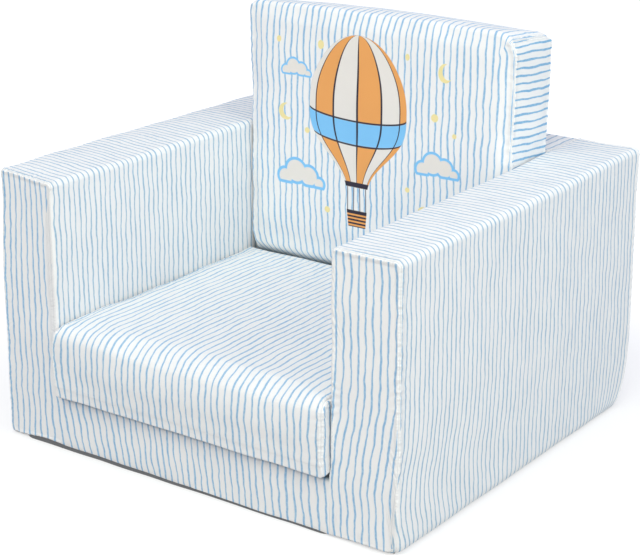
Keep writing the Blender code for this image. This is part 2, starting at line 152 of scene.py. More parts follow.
# %% Wiring helper
def arithmetic(operation, turned=False):
    """A method that adds a Math node; turned is for a plain number on the left."""
    def method(self, other):
        return self.wiring.calc(operation, *((other, self) if turned else (self, other)))
    return method


class Number:
    """A number that a shader works out. Arithmetic with it adds Math nodes."""

    def __init__(self, wiring, socket):
        self.wiring = wiring
        self.socket = socket

    def __abs__(self):
        return self.wiring.calc("ABSOLUTE", self)

    __add__ = arithmetic("ADD")
    __radd__ = arithmetic("ADD", turned=True)
    __sub__ = arithmetic("SUBTRACT")
    __rsub__ = arithmetic("SUBTRACT", turned=True)
    __mul__ = arithmetic("MULTIPLY")
    __truediv__ = arithmetic("DIVIDE")


class Wiring:
    """The nodes of one material or world, in short words."""

    def __init__(self, name, kind="materials", blank=False):
        self.owner = getattr(bpy.data, kind).new(name)
        self.owner.use_nodes = True
        self.tree = self.owner.node_tree
        if blank:
            self.tree.nodes.clear()
        self.shader = self.tree.nodes.get("Principled BSDF")

    def plug(self, value, socket):
        """Joins a shader number, a node's first output or a socket, or sets a plain value."""
        if isinstance(value, Number):
            value = value.socket
        if isinstance(value, bpy.types.Node):
            value = value.outputs[0]
        if isinstance(value, bpy.types.NodeSocket):
            self.tree.links.new(value, socket)
        else:
            socket.default_value = value

    def fill(self, node, **named):
        """Plugs values into a node's inputs by name."""
        for key, value in named.items():
            self.plug(value, node.inputs[key.replace("_", " ")])
        return node

    def node(self, kind, *values, settings=None, **named):
        """A node with its settings, its first inputs in order, and others by name."""
        made = self.tree.nodes.new(kind)
        for key, value in (settings or {}).items():
            setattr(made, key, value)
        for value, socket in zip(values, made.inputs):
            self.plug(value, socket)
        return self.fill(made, **named)

    def calc(self, operation, *values):
        """A Math node."""
        made = self.node("ShaderNodeMath", *values, settings={"operation": operation})
        return Number(self, made.outputs[0])

    def most(self, first, *others):
        """The greatest of several numbers."""
        for value in others:
            first = self.calc("MAXIMUM", first, value)
        return first

    def noise(self, at, scale=1.0, detail=0.0):
        """Noise from 0 to 1 about 0.5, at a vector or at two or three numbers."""
        if isinstance(at, tuple):
            at = self.node("ShaderNodeCombineXYZ", *at)
        made = self.node("ShaderNodeTexNoise", Vector=at, Scale=scale, Detail=detail)
        return Number(self, made.outputs["Fac"])

    def ease(self, value, start, end, first=0.0, last=1.0):
        """A smooth step from start to end."""
        made = self.node("ShaderNodeMapRange", value, start, end, first, last,
                         settings={"interpolation_type": "SMOOTHSTEP"})
        return Number(self, made.outputs["Result"])

    def fall(self, value, start, end):
        """A smooth step down from start to end."""
        return self.ease(value, start, end, 1.0, 0.0)

    def mix(self, share, first, last, blend="MIX"):
        """One colour over another, or times it where the blend is MULTIPLY."""
        made = self.node("ShaderNodeMix", share, settings={"data_type": "RGBA", "blend_type": blend})
        self.plug(first, made.inputs[6])
        self.plug(last, made.inputs[7])
        return made.outputs[2]

    def reading(self, name):
        """A number kept on the piece's points."""
        made = self.node("ShaderNodeAttribute", settings={"attribute_name": name})
        return Number(self, made.outputs["Fac"])

    def cloth_map(self):
        """Metres across and along the cloth."""
        parts = self.node("ShaderNodeSeparateXYZ", self.node("ShaderNodeUVMap", settings={"uv_map": "cloth"}))
        return Number(self, parts.outputs[0]), Number(self, parts.outputs[1])


def tint(colour, share=1.0):
    """A colour for a socket, darkened where the share is under 1."""
    return (*(part * share for part in colour), 1.0)


# %% [markdown]
# ## Light and room
#
# The light is broad and soft, as in a product studio: a pale, cool world lights all sides, a large
# lamp in front and above is the key, a warm one beside the camera fills the front, and a third
# stands to the right. Their levels were first fitted to the bare cloth's brightness on 33 places of
# the photograph, from one render for each light, and then adjusted a little by comparing renders.
# The floor shows white to the camera and still takes the chair's faint shadow.

# %% Light the room
WHITE = (1.0, 1.0, 1.0)
WORLD_LEVEL = 0.66
WORLD_COLOUR = (0.79, 0.805, 0.985)
LAMP_SIZE = 2.1
LAMP_AIM = (0.0, 0.0, 0.2)
FLOOR_LEVEL = 0.0004
FLOOR_HALF = 6.0
FLOOR_COLOUR = (0.48, 0.48, 0.48)
FLOOR_NEAR = 0.30
FLOOR_FAR = 0.85
FLOOR_GLOW = 0.56
FLOOR_FAR_GLOW = 0.82


def make_world():
    """A pale world that lights evenly and shows white to the camera and in glossy things."""
    w = Wiring("studio", "worlds", blank=True)
    ray = w.node("ShaderNodeLightPath").outputs
    shown = w.most(*(ray[f"Is {kind} Ray"] for kind in ("Camera", "Glossy", "Transmission")))
    soft = w.node("ShaderNodeBackground", tint(WORLD_COLOUR), WORLD_LEVEL)
    white = w.node("ShaderNodeBackground", tint(WHITE), 1.0)
    w.node("ShaderNodeOutputWorld", w.node("ShaderNodeMixShader", shown, soft, white))
    bpy.context.scene.world = w.owner


def make_lamp(name, place, power, colour):
    """A square area lamp that looks at the chair's middle."""
    lamp = bpy.data.lights.new(name, "AREA")
    lamp.size = LAMP_SIZE
    lamp.energy = power
    lamp.color = colour
    x, y, z = np.subtract(place, LAMP_AIM)
    obj = new_object(name, lamp)
    obj.location = place
    obj.rotation_euler = (math.atan2(math.hypot(x, y), z), 0.0, math.atan2(x, -y))


def make_floor():
    """A pale floor: mostly white to the camera, with some of the light that falls on it.

    Only the camera sees its glow, which rises with the distance from the chair's middle.
    """
    w = Wiring("pale_floor", blank=True)
    place = w.node("ShaderNodeTexCoord").outputs["Object"]
    far = w.node("ShaderNodeVectorMath", place, settings={"operation": "LENGTH"}).outputs["Value"]
    shown = Number(w, w.node("ShaderNodeLightPath").outputs["Is Camera Ray"])
    level = shown * w.ease(far, FLOOR_NEAR, FLOOR_FAR, FLOOR_GLOW, FLOOR_FAR_GLOW)
    matt = w.node("ShaderNodeBsdfDiffuse", tint(FLOOR_COLOUR))
    glow = w.node("ShaderNodeEmission", tint(WHITE), level)
    w.node("ShaderNodeOutputMaterial", w.node("ShaderNodeAddShader", matt, glow))
    mesh = bpy.data.meshes.new("floor")
    mesh.from_pydata([(x * FLOOR_HALF, y * FLOOR_HALF, -FLOOR_LEVEL) for x, y in
                      ((-1, -1), (1, -1), (1, 1), (-1, 1))], [], [(0, 1, 2, 3)])
    mesh.materials.append(w.owner)
    new_object("floor", mesh)


make_world()
make_floor()
make_lamp("key", (0.3, -2.0, 2.6), 43.5, (0.96, 1.0, 0.833))
make_lamp("fill", (1.9, -2.6, 1.3), 16.6, (1.0, 0.814, 0.561))
make_lamp("side", (2.8, -0.3, 1.5), 31.4, (0.888, 1.0, 0.921))
bpy.context.scene.view_settings.view_transform = "Standard"

# %% [markdown]
# ## The cloth
#
# The cover is a brushed, tightly woven polyester, white with light blue stripes that look drawn
# by hand: each stripe wanders, and swells and thins along its length. The map "cloth" holds
# metres, first across the stripes and then along them. A stripe's number is the rounded share
# of the pitch, and noise that reads that number and the length moves the stripe's middle.

# %% The stripes
STRIPE_PITCH = 0.00851
STROKE_HALF = 0.00106
STROKE_EDGE = 0.0003
STROKE_THIN = 0.78
STROKE_THICK = 1.22
STROKE_LENGTH = 0.03
STROKE_STEP = 3.7
SWAY = 0.0036
SWAY_LENGTH = 0.024
SWAY_STEP = 0.42
TREMOR = 0.0015
TREMOR_LENGTH = 0.009
TREMOR_STEP = 7.3
GROUND_COLOUR = (0.90, 0.90, 0.895, 1.0)
STRIPE_COLOUR = (0.275, 0.495, 0.735)
STRIPE_PALE = (0.385, 0.59, 0.785)


def stripes(w, across, along, weight=1.0, calm=1.0):
    """The stripes' share, 0 on the ground and 1 on a stripe.

    Noise is read at the stripe's number, times a step, and at the run along it. A short step lets
    neighbours sway together. weight thickens the strokes, and a calm below 1 stills them.
    """
    number = w.calc("ROUND", across / STRIPE_PITCH)
    together = w.noise((number * SWAY_STEP, along / SWAY_LENGTH))
    alone = w.noise((number * TREMOR_STEP, along / TREMOR_LENGTH, 4.0))
    moved = (together - 0.5) * (SWAY * calm) + (alone - 0.5) * (TREMOR * calm)
    off = abs(across - (number * STRIPE_PITCH + moved))
    thick = w.noise((number * STROKE_STEP, along / STROKE_LENGTH, 9.0))
    half = w.ease(thick, 0.25, 0.75, STROKE_THIN, STROKE_THICK) * (STROKE_HALF * weight)
    return w.fall(off, half - STROKE_EDGE, half + STROKE_EDGE)


# %% The cloth's finish
BORDER = 0.0013
BORDER_EDGE = 0.0003
STITCH = 0.0034
STITCH_DEPTH = (0.0022, 0.0042)
SEAM_LINE = (0.0002, 0.0007)
SEAM_DARK = 0.55
PUCKER_SHADE_LENGTH = 0.012
# The first colour is the seam's, for its thread line with painted groove shade and for the painted pucker
# shade; the second is the painted shade of deep creases.
SEAM_SHADE = (0.60, 0.63, 0.66, 1.0)
PAINTED_CREASE_SHADE = (0.27, 0.36, 0.41, 1.0)
THREAD = 0.0006
WEAVE_HEIGHT = 0.06
NAP_HEIGHT = 0.25
NAP_SCALE = 900.0
GATHER_HEIGHT = 7.5
GATHER_LENGTH = 0.0046
GATHER_REACH = (0.0008, 0.0065)


def sewn(w, colour):
    """A seam over the colour: the thread line where two cloths meet, partly painted shade of its groove, with
    painted shade of the puckers that the stitches pull up, and painted shade in a deep crease.
    """
    off = abs(w.reading("seam"))
    run = w.reading("run")
    # The line along the seam is partly its thread and partly painted shade of the seam's groove; the marks at
    # each stitch are painted shade of the puckers.
    line = w.ease(off, *SEAM_LINE, SEAM_DARK, 0.0)
    turn = w.calc("SINE", run * (2 * math.pi / STITCH))
    uneven = w.noise((run / PUCKER_SHADE_LENGTH, 3.0))
    painted_pucker_shade = w.ease(turn, 0.35, 0.95) * w.ease(uneven, 0.35, 0.6, 0.1, 0.30) * w.fall(off, *STITCH_DEPTH)
    seamed = w.mix(w.most(line, painted_pucker_shade), colour, SEAM_SHADE)
    # Painted shade in deep creases, multiplied into the cloth where a piece keeps that number on its points.
    return w.mix(w.reading("fold"), seamed, PAINTED_CREASE_SHADE, "MULTIPLY")


def finish_cloth(w, colour, across, along):
    """Brushed cloth over a colour: matt, with a soft sheen, a fine weave, a little nap and gathers.

    The gathers lie across a seam, so they read the run along it, and fade with the distance off it.
    """
    seam = w.reading("seam")
    turn = 2 * math.pi / THREAD
    weave = w.calc("SINE", across * turn) * w.calc("SINE", along * turn)
    nap = w.noise((across, along), NAP_SCALE, 2.0)
    gather = w.noise((w.reading("run") / GATHER_LENGTH, seam * 90.0), 1.0, 1.0)
    near = w.fall(abs(seam), *GATHER_REACH)
    height = weave * WEAVE_HEIGHT + nap * NAP_HEIGHT + gather * (near * GATHER_HEIGHT)
    w.fill(w.shader, Base_Color=sewn(w, colour), Roughness=0.88, Sheen_Weight=0.2, Sheen_Roughness=0.5,
           Specular_IOR_Level=0.25,
           Normal=w.node("ShaderNodeBump", Height=height, Strength=0.5, Distance=0.0005))
    return w.owner


# %% The cloths
def striped_colour(w, across, along, weight=1.0, calm=1.0, strong=WHITE):
    """Stripe ink over the ground, with the ink a little uneven, and bare cloth beside a seam.

    strong multiplies the ink's red, green and blue.
    """
    mottle = w.noise((across, along), 260.0, 2.0)
    full, pale = (tint(np.multiply(ink, strong)) for ink in (STRIPE_COLOUR, STRIPE_PALE))
    ink = w.mix(w.ease(mottle, 0.35, 0.7), full, pale)
    inked = w.ease(w.reading("border"), -BORDER_EDGE, BORDER_EDGE)
    return w.mix(stripes(w, across, along, weight, calm) * inked, GROUND_COLOUR, ink)


def striped_cloth(name, **look):
    """The cover's cloth."""
    w = Wiring(name)
    at = w.cloth_map()
    return finish_cloth(w, striped_colour(w, *at, **look), *at)


def plain_cloth(name, colour):
    """An unprinted cloth in one colour, with a slight unevenness."""
    w = Wiring(name)
    at = w.cloth_map()
    patch = w.ease(w.noise(at, 30.0, 3.0), 0.3, 0.7)
    return finish_cloth(w, w.mix(patch, tint(colour, 0.93), tint(colour)), *at)


striped = striped_cloth("striped_cloth")
wrap_cloth = striped_cloth("wrap_cloth", strong=(1.14, 0.99, 0.89))
seat_cloth = striped_cloth("seat_cloth", strong=(1.02, 1.0, 0.97))
gusset_cloth = striped_cloth("gusset_cloth", weight=1.08, calm=0.60, strong=(0.72, 0.90, 0.95))
lining = plain_cloth("lining_cloth", (0.80, 0.81, 0.82))
underside = plain_cloth("underside_cloth", (0.17, 0.175, 0.185))
tape_cloth = plain_cloth("tape_cloth", (0.80, 0.83, 0.86))
cloths = (striped, wrap_cloth, seat_cloth, gusset_cloth, lining, underside, tape_cloth)
print("cloths:", [cloth.name for cloth in cloths])

# %% [markdown]
# ## The picture on the back cushion
#
# A flat picture is printed on the back cushion, in orange, light blue, cream and near-black, with
# pale yellow bits round it. Here it is a plain balloon between clouds. Each shape is a distance:
# a disc is the distance from its middle, so a smooth step at the edge draws it.

# %% Print the back cushion
ORANGE = (0.855, 0.385, 0.115, 1.0)
CREAM = (0.83, 0.79, 0.74, 1.0)
SKY = (0.225, 0.575, 0.93, 1.0)
DARK = (0.030, 0.026, 0.045, 1.0)
YELLOW = (0.905, 0.785, 0.385, 1.0)
INK_EDGE = 0.0004
BALLOON = (-0.019, 0.341)
BALLOON_WIDE = 0.066
BALLOON_TALL = 0.074
BALLOON_BELOW = 0.094
BALLOON_TAPER = 0.118
BALLOON_NECK = 0.20
GORE = math.radians(30)
BASKET = (-0.019, 0.2165)
BASKET_HALF = 0.0135
BASKET_BELOW = 0.017
RIM_ABOVE = 0.003
WICKER = 0.0042
ROPES = ((-0.0125, -0.0125), (-0.004, -0.0045), (0.004, 0.0045), (0.0125, 0.0125))
CLOUDS = ((-0.098, 0.246, 1.0), (0.088, 0.285, 0.86), (-0.104, 0.372, 0.62))
PUFFS = ((-0.021, -0.002, 0.0125), (-0.006, 0.007, 0.0165), (0.012, 0.003, 0.0145), (0.026, -0.004, 0.0095))
CRESCENTS = ((-0.118, 0.322, 0.010), (0.096, 0.392, 0.009), (0.072, 0.232, 0.008))
SPOTS = ((-0.070, 0.402, 0.0042), (-0.088, 0.304, 0.0034), (0.084, 0.343, 0.0046), (0.110, 0.326, 0.0028),
         (-0.060, 0.214, 0.0038), (0.046, 0.402, 0.0030), (-0.128, 0.402, 0.0030), (0.050, 0.256, 0.0030))


def disc(w, x, z, middle, wide, tall=None):
    """1 inside an ellipse and 0 outside: the distance from its middle in its own half widths."""
    tall = tall or wide
    dx = (x - middle[0]) / wide
    dz = (z - middle[1]) / tall
    edge = INK_EDGE / min(wide, tall)
    return w.fall(w.calc("SQRT", dx * dx + dz * dz), 1 - edge, 1 + edge)


def band(w, value, start, end):
    """1 between two values and 0 outside."""
    return w.ease(value, start - INK_EDGE, start + INK_EDGE) * w.fall(value, end - INK_EDGE, end + INK_EDGE)


def print_balloon(w, x, z, colour):
    """The balloon over the colour: a half ellipse on a skirt that narrows to its neck.

    The gores' edges are even turns about the balloon's upright axis, so the turn at a point is the
    arc whose sine is its distance off the axis over the balloon's half width there.
    """
    middle, top = BALLOON
    off = x - middle
    half = w.ease(w.ease(top - z, 0.0, BALLOON_TAPER), 0.0, 1.0, 1.0, BALLOON_NECK) * BALLOON_WIDE
    skirt = band(w, z, top - BALLOON_BELOW, top) * w.fall(abs(off) - half, -INK_EDGE, INK_EDGE)
    dome = disc(w, x, z, BALLOON, BALLOON_WIDE, BALLOON_TALL) * w.ease(z, top - 0.003, top - 0.002)
    up = w.most(z - top, 0.0) / BALLOON_TALL
    dome_half = w.calc("SQRT", w.most(1.0 - up * up, 0.0)) * BALLOON_WIDE
    sine = off / w.calc("MINIMUM", half, dome_half)
    turn = w.calc("ARCSINE", w.most(w.calc("MINIMUM", sine, 1.0), -1.0))
    gore = (turn + 10 * GORE) / GORE
    cloth = w.mix(w.calc("MODULO", w.calc("FLOOR", gore), 2.0), ORANGE, CREAM)
    level = z + w.calc("COSINE", turn) * 0.010
    for height, start, end, ink in ((level, -0.034, -0.008, SKY), (level, -0.036, -0.034, DARK),
                                    (level, -0.008, -0.006, DARK), (z, -BALLOON_BELOW, -0.088, DARK)):
        cloth = w.mix(band(w, height, top + start, top + end), cloth, ink)
    line = abs(w.calc("FRACT", gore + 0.5) - 0.5)
    cloth = w.mix(w.fall(line, 0.03, 0.05), cloth, DARK)
    return w.mix(w.most(skirt, dome), colour, cloth)


def print_basket(w, x, z, colour):
    """The basket over the colour, with level wicker, a dark rim and four ropes up to the balloon."""
    middle, rim = BASKET
    bottom = BALLOON[1] - BALLOON_BELOW
    share = (bottom - z) / (bottom - rim)
    ropes = [band(w, x - (start + middle + share * (end - start)), -0.0005, 0.0005) for start, end in ROPES]
    colour = w.mix(w.most(*ropes) * band(w, z, rim, bottom), colour, DARK)
    narrow = BASKET_HALF + (z - rim) * 0.10
    inside = w.fall(abs(x - middle) - narrow, -INK_EDGE, INK_EDGE)
    wicker = abs(w.calc("FRACT", z / WICKER) - 0.5)
    weave = w.mix(w.ease(wicker, 0.22, 0.28), DARK, ORANGE)
    weave = w.mix(band(w, z, rim - 0.001, rim + RIM_ABOVE), weave, DARK)
    return w.mix(inside * band(w, z, rim - BASKET_BELOW, rim + RIM_ABOVE), colour, weave)


def print_sky(w, x, z, colour):
    """Clouds, crescents and spots over the colour. A cloud is a row of discs cut off level below."""
    for place_x, place_z, size in CLOUDS:
        for inset, below, ink in ((0.0, 0.0105, SKY), (0.0035, 0.007, CREAM)):
            puffs = [disc(w, x, z, (place_x + px * size, place_z + pz * size), (r - inset) * size)
                     for px, pz, r in PUFFS]
            flat = band(w, z, place_z - below * size, place_z + 0.05)
            colour = w.mix(w.most(*puffs) * flat, colour, ink)
    for place_x, place_z, size in CRESCENTS:
        full = disc(w, x, z, (place_x, place_z), size)
        bite = disc(w, x, z, (place_x + size * 0.45, place_z + size * 0.18), size * 0.82)
        colour = w.mix(full * (1.0 - bite), colour, YELLOW)
    for place_x, place_z, size in SPOTS:
        colour = w.mix(disc(w, x, z, (place_x, place_z), size), colour, YELLOW)
    return colour


def printed_cloth():
    """Striped cloth with the picture over it."""
    w = Wiring("printed_cloth")
    at = w.cloth_map()
    colour = striped_colour(w, *at)
    for layer in (print_sky, print_basket, print_balloon):
        colour = layer(w, *at, colour)
    return finish_cloth(w, colour, *at)


printed = printed_cloth()
print("printed cloth:", len(printed.node_tree.nodes), "shader nodes")

# %% [markdown]
# ## A block's cover
#
# Every cover is made by the same few steps. The section is a closed outline with round corners,
# and for each of its points there is the way out of the block. The roll at an end turns that
# way through a right angle, from straight out to along the block, and the seam lies halfway.

# %% Outline of a section
CORNER_STEPS = 10
SPACING = 0.0021
ROW_SPACING = 0.004


def section(corners, radii):
    """Points, outward ways and length of a closed outline, clockwise from its first corner.

    A straight side lies between two corners. A corner is an arc whose middle is one radius in
    from both its sides, so a point is that middle plus the radius times the outward way.
    """
    corners = np.array(corners, float)
    after = np.roll(corners, -1, axis=0) - corners
    after /= np.linalg.norm(after, axis=1)[:, None]
    before = np.roll(after, 1, axis=0)
    cross = before[:, 0] * after[:, 1] - before[:, 1] * after[:, 0]
    turn = np.arccos(np.clip((before * after).sum(axis=1), -1, 1))
    hand = np.where(cross > 0, -1.0, 1.0)
    reach = np.array(radii) * np.tan(turn / 2)
    arcs, ways = [], []
    for i in range(len(corners)):
        out = np.array((-before[i, 1], before[i, 0]))
        start = corners[i] - before[i] * reach[i]
        middle = start - hand[i] * out * radii[i]
        angle = -hand[i] * turn[i] * np.linspace(0, 1, CORNER_STEPS + 1)
        cos, sin = np.cos(angle), np.sin(angle)
        way = np.stack([out[0] * cos - out[1] * sin, out[0] * sin + out[1] * cos], axis=1)
        arcs.append(middle + hand[i] * radii[i] * way)
        ways.append(way)
    points, outward = [], []
    for i in range(len(corners)):
        goal = arcs[(i + 1) % len(corners)][0]
        gap = goal - arcs[i][-1]
        steps = max(1, int(np.linalg.norm(gap) / SPACING))
        share = np.linspace(0, 1, steps + 1)[1:-1, None]
        points += [arcs[i], arcs[i][-1] + gap * share]
        outward += [ways[i], np.repeat(ways[i][-1:], len(share), axis=0)]
    points = np.concatenate(points + [arcs[0][:1]])
    outward = np.concatenate(outward + [ways[0][:1]])
    length = np.concatenate([[0], np.cumsum(np.linalg.norm(np.diff(points, axis=0), axis=1))])
    return points, outward, length


def rectangle(left, bottom, right, top):
    """The four corners of a section, in the order that section() takes."""
    return [(left, bottom), (left, top), (right, top), (right, bottom)]


# %% Unevenness of cloth
CLOTH_SEED = 5


def ripple(place, length, seed):
    """Waves of about one length, added up so that no two are alike; about -1 to 1."""
    dice = np.random.default_rng(seed)
    total = np.zeros_like(place)
    for _ in range(6):
        size = length * dice.uniform(0.6, 1.8)
        total += np.sin(2 * math.pi * place / size + dice.uniform(0, 2 * math.pi))
    return total / 3


def crumple(points, length, seed):
    """Waves in all directions through space, of about one length; about -1 to 1."""
    dice = np.random.default_rng(seed)
    total = np.zeros(points.shape[:-1])
    for _ in range(9):
        way = dice.normal(size=3)
        way /= np.linalg.norm(way)
        size = length * dice.uniform(0.6, 1.8)
        total += np.sin(2 * math.pi * (points @ way) / size + dice.uniform(0, 2 * math.pi))
    return total / 3.5


# %% Smooth steps and round corners
def ease(value, start, end):
    """A smooth step from 0 at start to 1 at end, which falls as the value rises where end is lower."""
    share = np.clip((value - start) / (end - start), 0, 1)
    return share * share * (3 - 2 * share)


def between(first, last, share):
    """A value part of the way from the first to the last."""
    return first + (last - first) * share


def bell(off, half):
    """1 in the middle, falling evenly on both sides: e to the power of minus (off / half) squared."""
    return np.exp(-(off / half) ** 2)


def apart(points):
    """The x, y and z of points."""
    return np.moveaxis(points, -1, 0)


def together(*parts):
    """Points from their x, y and z."""
    return np.stack(parts, axis=-1)


def rounding(u, v, share=1.0):
    """How far a square corner's points move in to make it round.

    u and v are the distances past the corner's middle. A point on a square ring round that middle,
    at the greater of the two, goes to the circle of that radius; share eases the movement.
    """
    u = np.clip(u, 0, None)
    v = np.clip(v, 0, None)
    far = np.hypot(u, v)
    scale = 1 + (np.maximum(u, v) / np.where(far > 0, far, 1) - 1) * share * (far > 0)
    return u - u * scale, v - v * scale


# %% Cover of a block
ROLL_STEPS = 10
RINGS = np.array((0, .1, .2, .3, .39, .47, .54, .6, .65, .69, .725, .755, .782, .806, .828, .848, .867,
                  .884, .9, .915, .929, .942, .954, .965, .975, .984, .992))
NEAR_SEAM = np.array((.0009, .0018, .0027, .0037, .0048, .006, .0074, .009, .0108, .013))
GROOVE = 0.0006
GROOVE_WIDTH = 0.0009
RIDGE = 0.0003
RIDGE_OFF = 0.0028
RIDGE_WIDTH = 0.0016
PUCKER = 0.0008
PUCKER_LENGTH = 0.0072
PUCKER_REACH = 0.006
PUCKER_GAP = 0.002
WRINKLE = 0.0005
WRINKLE_LENGTH = 0.075
SEWN_FROM = 0.0006
SEWN_FULL = 0.0026
SEAM_LEAST = 0.0015
DRIFTED = 0.003
DRIFT_CALM = 0.8
FAR = 0.05
NO_CROWN = ((0.0, 0.0),) * 3


def cover_rows(length):
    """Each row's ring share, roll angle and share of the body, from one end's middle to the other's."""
    plain = length - 2 * NEAR_SEAM[-1]
    if plain > 0:
        steps = max(2, int(plain / ROW_SPACING))
        middle = NEAR_SEAM[-1] + plain * np.linspace(0, 1, steps + 1)[1:-1]
        share = np.concatenate([NEAR_SEAM, middle, length - NEAR_SEAM[::-1]]) / length
    else:
        share = np.array((0.33, 0.67))
    roll = np.linspace(math.pi / 2, 0, ROLL_STEPS + 1)
    flat = np.zeros_like(share)
    rows = np.array(
        [*zip(RINGS, 0 * RINGS + math.pi / 2, 0 * RINGS),
         *zip(0 * roll + 1, roll, 0 * roll),
         *zip(flat + 1, flat, share),
         *zip(0 * roll + 1, roll[::-1], 0 * roll + 1),
         *zip(RINGS[::-1], 0 * RINGS + math.pi / 2, 0 * RINGS + 1)])
    return rows[:, 0], rows[:, 1], rows[:, 2]


def swell(points, box_low, box_high, amounts):
    """Points moved out by each face's crown: full at the face's middle and nothing at its edges."""
    middle = (box_low + box_high) / 2
    share = np.clip((points - middle) / ((box_high - box_low) / 2), -1, 1)
    room = 1 - share**2
    moved = points.copy()
    for axis in range(3):
        others = room[..., (axis + 1) % 3] * room[..., (axis + 2) % 3]
        crown = np.where(share[..., axis] > 0, amounts[axis][1], amounts[axis][0])
        moved[..., axis] += crown * share[..., axis] * others
    return moved


def cover(axis, box_low, box_high, corners, radii, rolls, crowns, seed, cap_turned=False, pucker=1.0,
          wrinkle=1.0, drift=None, shape=None):
    """The closed cover of a block, as a grid of points with its maps and its seams' distances.

    A point is the section's point, moved in along its outward way by roll * (1 - cos angle), and
    set along the block at roll * (1 - sin angle) from the end. Rows within an end panel shrink
    towards its middle. rolls gives the roll at both ends, drift how far the first end's seam
    lies inside the panel, and shape moves the points before the cloth's unevenness is added.
    pucker and wrinkle scale that unevenness at the seams and everywhere. cap_turned turns the end
    panels' map by a right angle.
    """
    box_low = np.array(box_low, float)
    box_high = np.array(box_high, float)
    flat, outward, length = section(corners, radii)
    first_roll, last_roll = (np.broadcast_to(r(flat) if callable(r) else r, len(flat)) for r in rolls)
    ring, angle, body = cover_rows(box_high[axis] - box_low[axis])
    ring, angle, body = ring[:, None], angle[:, None], body[:, None]
    last_end = (np.arange(len(ring)) > len(ring) / 2)[:, None]
    roll = np.where(last_end, last_roll, first_roll)
    inset = roll * (1 - np.cos(angle))
    section_rows = flat[None] - inset[..., None] * outward[None]
    middle = (flat.min(axis=0) + flat.max(axis=0)) / 2
    section_rows = middle + (section_rows - middle) * ring[..., None]
    depth = roll * (1 - np.sin(angle))
    start = box_low[axis] + first_roll
    stop = box_high[axis] - last_roll
    on_body = (angle == 0) & (ring == 1)
    along = np.where(last_end, box_high[axis] - depth, box_low[axis] + depth)
    along = np.where(on_body, start + (stop - start) * body, along)
    across = [i for i in range(3) if i != axis]
    points = np.empty((*along.shape, 3))
    points[..., across] = section_rows
    points[..., axis] = along
    normals = np.empty_like(points)
    normals[..., across] = outward[None] * np.cos(angle)[..., None]
    normals[..., axis] = np.where(last_end, 1, -1) * np.sin(angle)

    inward = np.zeros_like(along)
    for end in (0, 1):
        rows = np.nonzero((ring[:, 0] < 1) & (last_end[:, 0] == end))[0]
        rim = flat - (last_roll if end else first_roll)[:, None] * outward
        gaps = section_rows[rows][:, :, None] - rim[None, None]
        inward[rows] = np.sqrt((gaps**2).sum(axis=-1)).min(axis=-1)
    to_end = np.where(on_body, np.minimum(along - start, stop - along), 0)
    past = np.where(on_body, -math.pi / 4 * roll - to_end, (angle - math.pi / 4) * roll + inward)
    if drift is not None:
        past = past - np.where(last_end, 0, drift(flat))
    beyond = roll * angle + inward
    wrap_across = np.where(on_body, along, np.where(last_end, stop + beyond, start - beyond))
    run = np.broadcast_to(length, along.shape)
    wrap_map = np.stack([wrap_across, run], axis=-1)
    cap_map = section_rows[..., (1, 0) if cap_turned else (0, 1)]

    points = swell(points, box_low, box_high, crowns)
    if shape is not None:
        points = shape(points)
    off = np.abs(past)
    gather = np.where(last_end, *(ripple(length, PUCKER_LENGTH, dice) for dice in (seed, seed + 1)))
    fade = np.exp(-off / PUCKER_REACH) * (1 - bell(off, PUCKER_GAP))
    groove = bell(off, GROOVE_WIDTH)
    ridge = bell(off - RIDGE_OFF, RIDGE_WIDTH)
    wandering = 0 if drift is None else np.where(last_end, 0, ease(drift(flat), 0, DRIFTED))
    height = ease(roll, SEWN_FROM, SEWN_FULL) * pucker * (1 - DRIFT_CALM * wandering)
    height = height * (PUCKER * gather * fade + RIDGE * ridge - GROOVE * groove)
    height = height + wrinkle * WRINKLE * crumple(points, WRINKLE_LENGTH, CLOTH_SEED)
    points += normals * height[..., None]
    seam = np.where(roll > SEAM_LEAST, np.clip(past, -FAR, FAR), FAR)
    border = np.where(roll > SEAM_LEAST, off - BORDER, FAR)
    return {"points": points, "wrap": wrap_map, "cap": cap_map, "past": past, "last": last_end,
            "seam": seam, "border": border, "run": run}


def block(side, start, stop, radii, roll, crowns, seed, **more):
    """The cover of a block from -side to side, whose section is a rectangle from start to stop."""
    corners = rectangle(*start, *stop)
    return cover(0, (-side, *start), (side, *stop), corners, radii, (roll, roll), crowns, seed, **more)


# %% Mesh from a cover
def closed_grid(rows, columns):
    """The faces of a grid whose last column is its first again and whose first and last rows are points.

    The faces are given by grid numbers. kept lists the grid numbers that stay as mesh points, and
    place gives the mesh point of every grid number.
    """
    number = np.arange(rows * columns).reshape(rows, columns)
    faces = np.stack([number[:-1, :-1], number[:-1, 1:], number[1:, 1:], number[1:, :-1]], axis=-1)
    shared = number.copy()
    shared[:, -1] = shared[:, 0]
    shared[0], shared[-1] = number[0, 0], number[-1, 0]
    kept, place = np.unique(shared, return_inverse=True)
    return kept, place.reshape(-1), faces.reshape(-1, 4)


def face_corners(faces, columns):
    """Each face's grid numbers, with three for the faces at a pole, and which of the four those are."""
    around = columns - 1
    whole = np.ones(faces.shape, bool)
    whole[:around, 1] = False
    whole[-around:, 3] = False
    corners = [*faces[:around][:, (0, 2, 3)], *faces[around:-around], *faces[-around:][:, (0, 1, 2)]]
    return corners, whole


